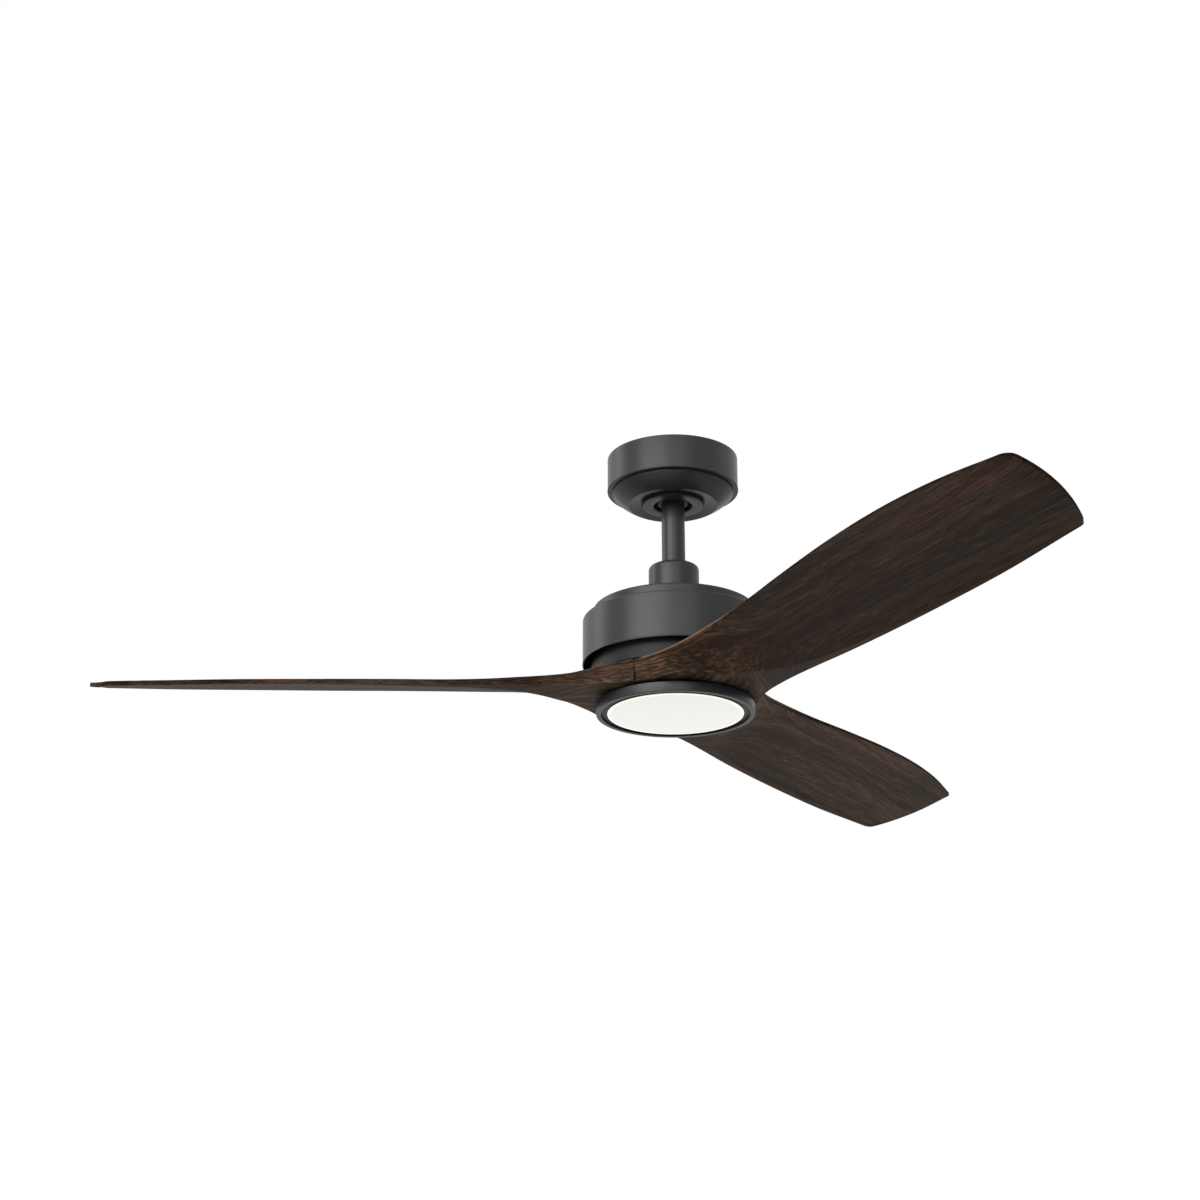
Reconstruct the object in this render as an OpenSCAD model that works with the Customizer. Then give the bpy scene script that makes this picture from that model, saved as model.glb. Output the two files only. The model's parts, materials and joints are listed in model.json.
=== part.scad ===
// Ceiling fan with a light: three twisted wooden blades, an outer-rotor motor
// in a drum housing, a short downrod on a ball hanger and a flat ring light.
// Millimetres. +Z is up. The origin is the centre of the bracket's ceiling face.
// Angles are measured anticlockwise from +X as seen from above.

/* [Blades] */
// Radius of the circle swept by the blade tips
sweep_r = 660.4; // [560:1:760]
// Direction of the first blade, seen from above
first_blade_az = 178.8; // [0:0.1:360]
// Thickness of the wooden blade at its thin edge
blade_t = 5.2; // [4:0.1:7]
// Radius of the wooden hub at the seams between blades
hub_r = 92; // [88:0.5:96]
// Radius of the hole in the middle of the wooden hub
hub_bore_r = 36; // [34:0.5:40]
// Width of the seam between two blades
seam_w = 0.8; // [0.4:0.1:2]

/* [Canopy] */
// Outer radius of the canopy band
canopy_r = 75.5; // [72:0.5:85]
// Height of the canopy band
canopy_h = 40; // [36:1:50]
// Gap between the canopy rim and the ceiling
ceiling_gap = 1.5; // [0.5:0.1:3]
// Outer radius of the flat ring on the canopy cover
cover_ring_r = 51.2; // [48:0.5:56]
// Outer radius of the canopy collar
collar_r = 35.2; // [32:0.5:38]
// Radius of the hole that the downrod passes through
collar_bore_r = 22.2; // [21:0.1:24]

/* [Hanging] */
// Radius of the hanger ball
ball_r = 24; // [23:0.5:25]
// Outer radius of the downrod
rod_r = 13.35; // [12:0.05:14]
// Radius of the downrod's bore
rod_bore_r = 11.4; // [10:0.1:11.6]
// Length of the downrod
rod_len = 152.4; // [152.4:0.1:154]
// Spacing of the two outlet box slots
box_slot_pitch = 88.9; // [82:0.1:90]
// Width of each outlet box slot
box_slot_w = 4.8; // [4.5:0.1:6]

/* [Motor] */
// Outer radius of the motor housing
housing_r = 104; // [103:0.5:112]
// Outer radius of the raised step on top of the housing
crown_r = 92; // [88:0.5:95]
// Outer radius of the yoke cover
yoke_cover_r = 28.7; // [28:0.1:32]
// Outer radius of the blade flange's rim
flange_r = 94; // [92:0.5:96]
// Number of stator teeth
stator_teeth = 12; // [9:3:18]
// Number of rotor magnets
magnet_count = 16; // [8:2:20]

/* [Light] */
// Outer radius of the light ring
lamp_r = 88.5; // [87:0.5:92]
// Radius of the ring's opening
lamp_open_r = 83.2; // [80:0.2:84]
// Radius of the lens's lit plate, which hangs in the opening
lens_plate_r = 75.3; // [70:0.1:79]
// Height of the light ring
lamp_h = 11.5; // [11.5:0.1:13]
// Number of light-emitting chips on the strip
led_count = 60; // [30:2:80]

/* [Hidden] */
$fn = 96;
eps = 0.01;
sheet = 1.5;

// Heights, from the ceiling down.
canopy_top_z = -ceiling_gap;
band_bottom_z = canopy_top_z - canopy_h;
ball_z = -40;
ball_pin_z = -30;
rod_top_z = -22;
rod_bottom_z = rod_top_z - rod_len;
collar_bottom_z = -59.3;
clevis_z = -160;
crown_z = -186.3;
shoulder_z = -199.4;
housing_bottom_z = -252.6;
shaft_top_z = -178;
shaft_bottom_z = -287;
bell_top_z = -202;
bell_bottom_z = -247;
bell_split_z = -224.5;
flange_bottom_z = -270;
hub_bottom_z = -295.5;
lamp_top_z = -298.5;
lamp_bottom_z = lamp_top_z - lamp_h;

// Radii of the motor.
shaft_r = 8.5;
shaft_bore_r = 5.5;
bearing_r = 17.5;
bearing_w = 10;
stator_r = 66;
bell_r = 76;
lug_ring_r = 81;

blade_angles = [for (i = [0:2]) first_blade_az + 120 * i];
blade_screw_r = 62;
blade_screw_angles = [-38, 0, 38];

// ---------------------------------------------------------------- helpers

// A ring with a rectangular section.
module tube(r_out, r_in, z0, z1) {
    translate([0, 0, z0])
        difference() {
            cylinder(r = r_out, h = z1 - z0);
            translate([0, 0, -1])
                cylinder(r = r_in, h = z1 - z0 + 2);
        }
}

// A plain rod from z0 up to z1.
module rod(r, z0, z1) {
    translate([0, 0, z0])
        cylinder(r = r, h = z1 - z0);
}

// Copies of the children at n places round the axis.
module around(n, r, start = 0) {
    for (i = [0:n - 1])
        rotate([0, 0, start + 360 * i / n])
            translate([r, 0, 0])
                children();
}

// A wire through a chain of points.
module wire(points, r) {
    for (i = [0:len(points) - 2])
        let (a = points[i], b = points[i + 1], d = b - a)
            translate(a)
                rotate([0, acos(d[2] / norm(d)), atan2(d[1], d[0])])
                    cylinder(r = r, h = norm(d), $fn = 16);
    for (i = [1:len(points) - 2])
        translate(points[i])
            sphere(r = r + 0.02, $fn = 16);
}

// A pan-head screw whose head rests on z = 0 and whose shank points down.
module screw_down(r, length, head_r, head_h) {
    translate([0, 0, -length])
        cylinder(r = r, h = length + eps, $fn = 24);
    difference() {
        cylinder(r = head_r, h = head_h, $fn = 32);
        for (a = [0, 90])
            rotate([0, 0, a])
                translate([-head_r * 0.6, -0.4, head_h * 0.55])
                    cube([head_r * 1.2, 0.8, head_h]);
    }
}

// The same screw with its head below and its shank pointing up.
module screw_up(r, length, head_r, head_h) {
    mirror([0, 0, 1])
        screw_down(r, length, head_r, head_h);
}

// ---------------------------------------------------------------- blades

// The blade is drawn pointing along +X. Each curve below is a list of
// [distance along the blade, value], read through smooth().
hub_corner = hub_r * [cos(60 - asin(seam_w / 2 / hub_r)), sin(60 - asin(seam_w / 2 / hub_r))];

// How far the leading (high) edge lies to the right of the blade's middle line.
lead_edge = [
    [hub_corner[0], -hub_corner[1]], [67, -69.8], [106, -60], [136, -55], [170, -52.4],
    [232, -55], [313, -62.3], [404, -68.6], [495, -69.8], [576, -64.6], [650, -52.9]
];
// How far the trailing (low) edge lies to its left.
trail_edge = [
    [hub_corner[0], hub_corner[1]], [58, 74], [72, 70.5], [98, 66.2], [140, 64.4], [190, 66.5],
    [240, 69.6], [320, 71.8], [404, 71.8], [495, 69.6], [590, 62.5], [628, 59.4]
];
// Width of the flat underside, from its crease to the trailing edge.
flat_width = [
    [hub_corner[0], 2 * hub_corner[1]], [60, 140], [83, 123], [98, 96], [118, 66], [130, 54],
    [150, 36], [172, 24], [216, 14], [260, 10], [320, 6], [410, 2.5], [650, 1.4]
];
// Height of the top of the leading edge.
lead_top = [
    [60, -269.8], [100, -267.6], [162, -261.5], [232, -259.2], [404, -253.8], [495, -252],
    [576, -252.3], [650, -254]
];
// Height of the underside at the trailing edge.
trail_bottom = [[130, hub_bottom_z], [320, -294.4], [495, -292.8], [650, -290.8]];
// Thickness of the blade at the leading edge, as a share of blade_t.
lead_share = [[60, 1], [200, 0.96], [330, 0.65], [650, 0.62]];
// Thickness of the blade at the trailing edge.
trail_thickness = [
    [50, 25.7], [86, 20], [101, 17.2], [116, 14.2], [162, 10.3], [232, 5.9], [313, 5.4], [650, 5.2]
];
// The seat for the motor's flange is cut this much wider than the flange.
seat_gap = 0.3;
// The hub's top lies this far above the seat before the seat is cut.
seat_depth = 0.2;

// How far the blade is arched upwards across its middle.
camber = [[250, 0], [420, 1.2], [560, 1], [650, 0]];

lead_columns = 6;
flat_columns = 8;
long_rows = 38;
tip_rows = 6;
last_s = 649.6;
tip_skew = 27.2;
tip_bow = 11;
lead_tip_r = 11;
trail_tip_r = 14;

// Slope of a curve at its point i.
function slope(c, i) =
    let (a = c[max(i - 1, 0)], b = c[min(i + 1, len(c) - 1)])
    (b[1] - a[1]) / (b[0] - a[0]);

// The value of a curve at s: a smooth line through its points, level past its ends.
function smooth(c, s, i = 0) =
    s <= c[0][0] ? c[0][1]
    : i == len(c) - 1 ? c[i][1]
    : s > c[i + 1][0] ? smooth(c, s, i + 1)
    : let (w = c[i + 1][0] - c[i][0], u = (s - c[i][0]) / w, v = 1 - u)
      v * v * (1 + 2 * u) * c[i][1] + u * u * (3 - 2 * u) * c[i + 1][1]
      + w * u * v * (v * slope(c, i) - u * slope(c, i + 1));

function blend(a, b, u) = a + (b - a) * u;
function ease(u) = let (v = min(max(u, 0), 1)) v * v * (3 - 2 * v);

// Stretches the plan outside the hub to the chosen sweep.
function stretch(p) =
    p[0] < hub_r ? p
    : [hub_r + (p[0] - hub_r) * (sweep_r - hub_r) / (660.4 - hub_r), p[1]];

// A row of the blade: where it meets the two edges, how far along it lies, and its bow.
function long_row(s) =
    let (t = s - tip_skew * ease((s - 520) / 120))
    [[s, smooth(lead_edge, s)], [t, smooth(trail_edge, t)], s, 0];

// The rows at the tip sweep round its two corners.
last_row = long_row(last_s);
lead_centre = last_row[0] + lead_tip_r * [-sin(9), cos(9)];
trail_centre = last_row[1] - trail_tip_r * [sin(6), cos(6)];
function tip_row(u) =
    let (a = blend(9, 86, u), b = blend(6, 53, u))
    [lead_centre + lead_tip_r * [sin(a), -cos(a)],
     trail_centre + trail_tip_r * [sin(b), cos(b)], 650, tip_bow * ease(u)];

rows = concat(
    [for (k = [0:long_rows])
        let (u = k / long_rows)
        long_row(blend(hub_corner[0], last_s, u * (0.35 + 0.65 * u)))],
    [for (k = [1:tip_rows]) tip_row(k / tip_rows)]);

// The height at v across a row that is folded at a crease.
function folded(v, fold, z_before, z_fold, z_after) =
    v < fold ? blend(z_before, z_fold, v / fold)
    : blend(z_fold, z_after, (v - fold) / (1 - fold));

// The points across a row, bowed outwards in the middle. fold is where its crease lies.
// Near the tip they are evenly spaced, so that the blade's end wall stands upright.
function across(row, fold, n_before, n_after, z_before, z_fold, z_after) =
    let (lead = row[0], trail = row[1], arch = smooth(camber, row[2]),
         n = n_before + n_after, even = ease((row[2] - 560) / 80))
    [for (j = [0:n])
        let (before = j < n_before,
             u = before ? j / n_before : (j - n_before) / n_after,
             v = blend(before ? fold * u : blend(fold, 1, u), j / n, even),
             swell = 4 * v * (1 - v),
             p = stretch(blend(lead, trail, v) + [row[3] * swell, 0]),
             z = even > 0 ? folded(v, fold, z_before, z_fold, z_after)
                 : before ? blend(z_before, z_fold, u) : blend(z_fold, z_after, u))
        [p[0], p[1], z + arch * swell]];

function under_row(row) =
    let (s = row[2],
         fold = 1 - min(1, smooth(flat_width, s) / norm(row[1] - row[0])),
         z = smooth(trail_bottom, s))
    across(row, fold, lead_columns, flat_columns, smooth(lead_top, s) - blade_t * smooth(lead_share, s), z, z);

function top_row(row) =
    let (s = row[2],
         fold = min(1, smooth(flat_width, s) / norm(row[1] - row[0])),
         z = smooth(lead_top, s),
         end_z = smooth(trail_bottom, s) + smooth(trail_thickness, s))
    across(row, fold, flat_columns, lead_columns, z, z, end_z);

// The flat hub rows run from the bore to just inside the hub's wall.
function bore_row(z) =
    let (half = 60 - asin(seam_w / 2 / hub_bore_r), n = lead_columns + flat_columns)
    [for (j = [0:n])
        let (a = blend(-half, half, j / n))
        [hub_bore_r * cos(a), hub_bore_r * sin(a), z]];
function wall_row(z) =
    let (n = lead_columns + flat_columns, y = hub_corner[1] - 1)
    [for (j = [0:n]) [hub_corner[0] - 0.6, blend(-y, y, j / n), z]];
function hub_rows(z) = [bore_row(z), blend(bore_row(z), wall_row(z), 0.5), wall_row(z)];

under_rows = concat(hub_rows(hub_bottom_z), [for (row = rows) under_row(row)]);
top_rows = concat(hub_rows(flange_bottom_z + seat_depth), [for (row = rows) top_row(row)]);

function flat_list(grid) = [for (row = grid) for (p = row) p];
function quad(a, b, c, d) = [[a, b, c], [a, c, d]];

// Joins two grids of points, one above the other, into a closed solid.
module slab(lower, upper) {
    n = len(lower);
    m = len(lower[0]);
    high = n * m;
    surfaces = [for (i = [0:n - 2]) for (j = [0:m - 2])
        let (a = i * m + j, b = a + m)
            each concat(quad(a, b, b + 1, a + 1),
                        quad(high + a, high + a + 1, high + b + 1, high + b))];
    sides = [for (i = [0:n - 2])
        let (a = i * m, b = a + m, c = a + m - 1, d = b + m - 1)
            each concat(quad(a, high + a, high + b, b), quad(c, d, high + d, high + c))];
    ends = [for (j = [0:m - 2])
        let (e = (n - 1) * m + j)
            each concat(quad(j, j + 1, high + j + 1, high + j),
                        quad(e, high + e, high + e + 1, e + 1))];
    polyhedron(points = concat(flat_list(lower), flat_list(upper)),
               faces = concat(surfaces, sides, ends));
}

// One blade pointing along +X, with a flat seat for the motor's flange and recessed
// holes for its screws.
module blade() {
    difference() {
        slab(under_rows, top_rows);
        rod(flange_r + seat_gap, flange_bottom_z, flange_bottom_z + 12);
        for (a = blade_screw_angles)
            rotate([0, 0, a])
                translate([blade_screw_r, 0, hub_bottom_z - 1]) {
                    cylinder(r = 2.7, h = 30, $fn = 32);
                    cylinder(r = 7.5, h = 6, $fn = 48);
                }
    }
}

module placed_blade(i) {
    color([0.26, 0.19, 0.15])
        rotate([0, 0, blade_angles[i]])
            blade();
}

module blade_left() {
    placed_blade(0);
}

module blade_near() {
    placed_blade(1);
}

module blade_far() {
    placed_blade(2);
}

module at_blade_screws(z) {
    for (b = blade_angles)
        for (a = blade_screw_angles)
            rotate([0, 0, a + b])
                translate([blade_screw_r, 0, z])
                    children();
}

module blade_screws() {
    color([0.3, 0.3, 0.32])
        at_blade_screws(hub_bottom_z + 4)
            screw_up(2.5, 26, 4.6, 2.6);
}

module blade_washers() {
    color([0.6, 0.6, 0.62])
        at_blade_screws(0)
            tube(6.6, 2.6, hub_bottom_z + 4, hub_bottom_z + 5);
}

// ---------------------------------------------------------------- ceiling

bracket_w = 34;
bracket_t = 2;
arm_x = 56.5;
web_z = -44;
foot_z = band_bottom_z + sheet;
canopy_screw_x = 63;

module at_box_slots() {
    for (s = [-1, 1])
        translate([s * box_slot_pitch / 2, 0, 0])
            children();
}

// The ring that the ball rests in, open on one side to let the downrod in.
module ball_seat() {
    difference() {
        rod(29, -52, web_z + bracket_t);
        translate([0, 0, ball_z])
            sphere(r = ball_r + 0.05);
        rod(20.8, -53, ball_z);
    }
}

module ceiling_bracket() {
    color([0.62, 0.63, 0.65]) {
        difference() {
            union() {
                translate([-arm_x, -bracket_w / 2, -bracket_t])
                    cube([2 * arm_x, bracket_w, bracket_t]);
                for (s = [-1, 1])
                    mirror([s > 0 ? 0 : 1, 0, 0]) {
                        translate([arm_x - bracket_t, -bracket_w / 2, web_z])
                            cube([bracket_t, bracket_w, -web_z]);
                        translate([arm_x - bracket_t, -10, foot_z])
                            cube([17, 20, bracket_t]);
                        translate([25, -bracket_w / 2, web_z])
                            cube([arm_x - 25, bracket_w, bracket_t]);
                    }
                ball_seat();
            }
            at_box_slots() {
                for (s = [-1, 1])
                    translate([s * 2.5, 0, -3])
                        cylinder(r = box_slot_w / 2, h = 4, $fn = 32);
                translate([-2.5, -box_slot_w / 2, -3])
                    cube([5, box_slot_w, 4]);
                rod(6.5, web_z - 1, web_z + 4);
            }
            translate([32.4, 0, -3])
                cylinder(r = 5, h = 4, $fn = 48);
            translate([-15, -40, -53])
                cube([30, 40, 12]);
            for (s = [-1, 1])
                translate([s * canopy_screw_x, 0, foot_z - 1])
                    cylinder(r = 2.1, h = 4, $fn = 32);
        }
        translate([-1.8, 21.2, -46])
            cube([3.6, 4.3, 4]);
    }
}

module canopy() {
    color([0.34, 0.34, 0.35])
        difference() {
            rotate_extrude()
                polygon([
                    [canopy_r, canopy_top_z], [canopy_r, band_bottom_z + 0.6],
                    [canopy_r - 0.6, band_bottom_z], [60, band_bottom_z],
                    [60, band_bottom_z + sheet], [canopy_r - sheet, band_bottom_z + sheet],
                    [canopy_r - sheet, canopy_top_z]
                ]);
            for (s = [-1, 1])
                translate([s * canopy_screw_x, 0, band_bottom_z - 1])
                    cylinder(r = 2.2, h = 4, $fn = 32);
        }
}

module canopy_screws() {
    color([0.3, 0.3, 0.32])
        for (s = [-1, 1])
            translate([s * canopy_screw_x, 0, band_bottom_z])
                screw_up(2, 7, 3.8, 2);
}

// Points of a circular arc, from angle a to angle b.
function arc(x, y, r, a, b, n) = [for (i = [0:n]) let (c = a + (b - a) * i / n)
    [x + r * cos(c), y + r * sin(c)]];

// The dished cover closes the canopy and hides its screws. Its side curves gently from
// the band in to the flat ring.
bowl_r = 60;
bowl_top = [69.6, band_bottom_z - 2.5];
bowl_foot = [cover_ring_r, -58.2];
bowl_line = bowl_foot - bowl_top;
bowl_centre = (bowl_top + bowl_foot) / 2
    + [bowl_line[1], -bowl_line[0]] * sqrt(pow(bowl_r / norm(bowl_line), 2) - 0.25);
bowl_start = atan2(bowl_top[1] - bowl_centre[1], bowl_top[0] - bowl_centre[0]);
bowl_end = atan2(bowl_foot[1] - bowl_centre[1], bowl_foot[0] - bowl_centre[0]);

module canopy_cover() {
    color([0.34, 0.34, 0.35])
        rotate_extrude()
            polygon(concat(
                [[bowl_top[0], band_bottom_z]],
                arc(bowl_centre[0], bowl_centre[1], bowl_r, bowl_start, bowl_end, 6),
                [[36.2, -55.4], [36.2, -54], [bowl_foot[0] - 0.5, bowl_foot[1] + 1.5]],
                arc(bowl_centre[0], bowl_centre[1], bowl_r - 1.4, bowl_end + 0.6,
                    bowl_start + 0.3, 6),
                [[bowl_top[0] - 1.6, band_bottom_z]]));
}

module canopy_collar() {
    color([0.34, 0.34, 0.35]) {
        tube(collar_r, collar_bore_r, collar_bottom_z, -52.6);
        tube(38, collar_r - 1, -53.9, -52.6);
    }
}

receiver_end_x = 26;

module remote_receiver() {
    color([0.12, 0.12, 0.13])
        difference() {
            translate([-34, -14, -13])
                cube([34 + receiver_end_x, 28, 11]);
            for (y = [-8, 8])
                translate([-35, y - 1, -12])
                    cube([6, 2, 6]);
        }
}

connector_x = 30;
connector_l = 12;
lead_r = 0.9;
lead_colors = [
    [0.85, 0.85, 0.85], [0.8, 0.15, 0.1], [0.1, 0.1, 0.1], [0.15, 0.3, 0.7], [0.9, 0.75, 0.1]
];

// Three motor leads and, between them in a second row, two lamp leads. In the downrod
// they all lie to one side, so that they pass the pins.
lead_pitch = 1.1;
lead_side = 6.4;
function is_motor_lead(i) = i % 2 == 0;
function lead_y(i) = lead_pitch * (i - 2);

module lead_connector() {
    color([0.9, 0.9, 0.86])
        translate([connector_x, lead_side - 4.5, -29])
            cube([connector_l, 9, 9]);
}

module receiver_leads() {
    for (i = [0:4])
        let (y = lead_side + lead_y(i), drop = is_motor_lead(i) ? 0 : 3)
            color(lead_colors[i])
                wire([[receiver_end_x, y, -6 - drop], [47 - drop, y, -6 - drop],
                      [47 - drop, y, -26 + drop], [connector_x + connector_l, y, -26 + drop]],
                     lead_r);
}

// ---------------------------------------------------------------- hanger

module hanger_ball() {
    color([0.2, 0.2, 0.21])
        difference() {
            intersection() {
                translate([0, 0, ball_z])
                    sphere(r = ball_r);
                rod(30, -57, -23);
            }
            rod(rod_r + 0.05, -60, -20);
            translate([-20, -3.05, ball_pin_z])
                cube([40, 6.1, 20]);
            translate([-20, 0, ball_pin_z])
                rotate([0, 90, 0])
                    cylinder(r = 3.05, h = 40, $fn = 32);
            translate([-2.4, 18.6, -60])
                cube([4.8, 10, 50]);
            translate([0, -30, -46])
                rotate([-90, 0, 0])
                    cylinder(r = 2.05, h = 20, $fn = 24);
        }
}

module ball_cross_pin() {
    color([0.7, 0.7, 0.72])
        translate([-19, 0, ball_pin_z])
            rotate([0, 90, 0])
                cylinder(r = 3, h = 38, $fn = 32);
}

module ball_set_screw() {
    color([0.3, 0.3, 0.32])
        translate([0, -22.6, -46])
            rotate([-90, 0, 0])
                cylinder(r = 2, h = 9.2, $fn = 24);
}

module downrod() {
    color([0.34, 0.34, 0.35])
        difference() {
            tube(rod_r, rod_bore_r, rod_bottom_z, rod_top_z);
            for (z = [ball_pin_z, clevis_z])
                translate([-20, 0, z])
                    rotate([0, 90, 0])
                        cylinder(r = 3.05, h = 40, $fn = 32);
        }
}

motor_lead_z = -214.5;

module lead_wires() {
    for (i = [0:4])
        let (motor = is_motor_lead(i),
             x = motor ? 0 : 2.4,
             y = lead_y(i),
             side = lead_side + y,
             step_z = -169 - 1.15 * i,
             top = motor ? -16.5 : -19,
             turn_x = motor ? 26.5 : 23.5,
             end_z = motor ? -22.5 : -26,
             start = motor ? [[-34, y, motor_lead_z], [x, y, motor_lead_z]] : [[x, y, -290.6]])
            color(lead_colors[i])
                wire(concat(start, [
                    [x, y, step_z], [x, side, step_z], [x, side, top],
                    [turn_x, side, top], [turn_x, side, end_z], [connector_x, side, end_z]
                ]), lead_r);
}

// ---------------------------------------------------------------- motor, fixed side

yoke_cover_top = -134;
yoke_cover_round = 5;

// The cover's outline, with a rounded top edge.
module cover_outline(r, top, round_r) {
    translate([0, crown_z + 0.2])
        square([r, top - round_r - crown_z - 0.2]);
    translate([0, crown_z + 0.2])
        square([r - round_r, top - crown_z - 0.2]);
    translate([r - round_r, top - round_r])
        circle(r = round_r);
}

module yoke_cover() {
    color([0.34, 0.34, 0.35])
        rotate_extrude()
            difference() {
                cover_outline(yoke_cover_r, yoke_cover_top, yoke_cover_round);
                translate([0, -eps])
                    cover_outline(yoke_cover_r - sheet, yoke_cover_top - sheet,
                                  yoke_cover_round - sheet);
                translate([0, crown_z - 1])
                    square([rod_r + 0.4, 60]);
            }
}

module motor_yoke() {
    color([0.55, 0.55, 0.57])
        difference() {
            union() {
                rod(20, crown_z - 2, -147);
                rod(50, -192.3, crown_z - sheet);
                rod(17, -199, -192);
            }
            rod(rod_r + 0.05, -176, -140);
            rod(shaft_r + 0.02, -200, -170);
            translate([-25, 0, clevis_z])
                rotate([0, 90, 0])
                    cylinder(r = 3.05, h = 50, $fn = 32);
            for (s = [-1, 1])
                translate([0, s * 25, -152])
                    rotate([s * 90, 0, 0])
                        cylinder(r = 2.55, h = 15, $fn = 24);
            around(3, 40, 30)
                translate([0, 0, -194])
                    cylinder(r = 2, h = 12, $fn = 24);
        }
}

module clevis_pin() {
    color([0.7, 0.7, 0.72])
        difference() {
            translate([-22.6, 0, clevis_z])
                rotate([0, 90, 0]) {
                    cylinder(r = 3, h = 47, $fn = 32);
                    cylinder(r = 4.6, h = 2, $fn = 32);
                }
            translate([22.5, 0, clevis_z - 4])
                cylinder(r = 0.95, h = 8, $fn = 24);
        }
}

module cotter_pin() {
    color([0.7, 0.7, 0.72]) {
        for (y = [0, 4.4])
            translate([22.5, y, clevis_z - 9])
                cylinder(r = 0.9, h = 16, $fn = 24);
        translate([22.5, 2.2, clevis_z + 7])
            rotate([90, 0, 90])
                rotate_extrude(angle = 180)
                    translate([2.2, 0])
                        circle(r = 0.9, $fn = 24);
    }
}

module yoke_set_screws() {
    color([0.3, 0.3, 0.32])
        for (s = [-1, 1])
            translate([0, s * 22, -152])
                rotate([s * 90, 0, 0])
                    cylinder(r = 2.5, h = 8.6, $fn = 24);
}

module housing_screws() {
    color([0.3, 0.3, 0.32])
        around(3, 40, 30)
            translate([0, 0, crown_z])
                screw_down(1.95, 6, 4, 2.2);
}

// The drum housing: a raised step on top, a flat shoulder and a straight band.
module motor_housing() {
    color([0.34, 0.34, 0.35])
        difference() {
            rotate_extrude()
                polygon([
                    [20.4, crown_z], [crown_r - 0.8, crown_z], [crown_r, crown_z - 0.8],
                    [crown_r, shoulder_z], [housing_r - 1, shoulder_z],
                    [housing_r, shoulder_z - 1], [housing_r, housing_bottom_z],
                    [housing_r - sheet, housing_bottom_z],
                    [housing_r - sheet, shoulder_z - sheet],
                    [crown_r - sheet, shoulder_z - sheet], [crown_r - sheet, crown_z - sheet],
                    [20.4, crown_z - sheet]
                ]);
            around(3, 40, 30)
                translate([0, 0, crown_z - 5])
                    cylinder(r = 2.2, h = 10, $fn = 24);
        }
}

// The fixed shaft is hollow. A port in its side lets the motor leads out.
module motor_shaft() {
    color([0.75, 0.75, 0.77])
        difference() {
            tube(shaft_r, shaft_bore_r, shaft_bottom_z, shaft_top_z);
            translate([-10, -3.4, motor_lead_z - 1.2])
                cube([8, 6.8, 2.4]);
        }
}

stator_bottom_z = -235;
stator_h = 19;
tooth_w = 6.4;

module stator_core() {
    color([0.45, 0.47, 0.5])
        difference() {
            union() {
                tube(30, shaft_r + 0.02, stator_bottom_z, stator_bottom_z + stator_h);
                for (i = [0:stator_teeth - 1])
                    rotate([0, 0, 360 * i / stator_teeth]) {
                        translate([28, -tooth_w / 2, stator_bottom_z])
                            cube([34, tooth_w, stator_h]);
                        intersection() {
                            tube(stator_r, 60.5, stator_bottom_z, stator_bottom_z + stator_h);
                            translate([50, -14.2, stator_bottom_z - 1])
                                cube([20, 28.4, stator_h + 2]);
                        }
                    }
            }
            around(6, 18, 15)
                rod(2, stator_bottom_z - 1, stator_bottom_z + stator_h + 1);
        }
}

module stator_windings() {
    color([0.72, 0.42, 0.2])
        for (i = [0:stator_teeth - 1])
            rotate([0, 0, 360 * i / stator_teeth])
                difference() {
                    translate([34, -6.8, stator_bottom_z - 3.5])
                        cube([25, 13.6, stator_h + 8]);
                    translate([33, -tooth_w / 2 - 0.1, stator_bottom_z - 0.1])
                        cube([27, tooth_w + 0.2, stator_h + 0.2]);
                }
}

bearing_tops = [bell_top_z - 1, bell_bottom_z + 1 + bearing_w];
ball_path_r = 13;

// The groove that the bearing's balls run in.
module ball_groove(z) {
    translate([0, 0, z])
        rotate_extrude()
            translate([ball_path_r, 0])
                circle(r = 2.45, $fn = 32);
}

module bearing_inner_races() {
    color([0.7, 0.71, 0.73])
        for (z = bearing_tops)
            difference() {
                tube(11.4, shaft_r + 0.02, z - bearing_w, z);
                ball_groove(z - bearing_w / 2);
            }
}

module bearing_outer_races() {
    color([0.7, 0.71, 0.73])
        for (z = bearing_tops)
            difference() {
                tube(bearing_r, 14.6, z - bearing_w, z);
                ball_groove(z - bearing_w / 2);
            }
}

module bearing_balls() {
    color([0.8, 0.81, 0.83])
        for (z = bearing_tops)
            translate([0, 0, z - bearing_w / 2])
                around(9, ball_path_r)
                    sphere(r = 2.4, $fn = 24);
}

// ---------------------------------------------------------------- motor, turning side

module bell_lugs(z0, z1) {
    around(4, lug_ring_r, 45)
        difference() {
            rod(6, z0, z1);
            rod(2.1, z0 - 1, z1 + 1);
        }
    around(4, lug_ring_r - 5.6, 45)
        translate([0, 0, (z0 + z1) / 2])
            cube([3, 9, z1 - z0], center = true);
}

module rotor_top_bell() {
    color([0.5, 0.5, 0.52]) {
        difference() {
            union() {
                tube(bell_r, 12, bell_top_z - 3, bell_top_z);
                tube(bell_r, bell_r - 3.5, bell_split_z, bell_top_z - 3 + eps);
                tube(22, bearing_r, bell_top_z - 1 - bearing_w, bell_top_z - 1);
            }
            rod(bearing_r + 0.02, bell_top_z - 12, bell_top_z - 1);
            around(6, 48)
                translate([0, 0, bell_top_z - 5])
                    cylinder(r = 9, h = 10, $fn = 48);
        }
        bell_lugs(bell_split_z, bell_top_z - 8);
    }
}

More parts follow.
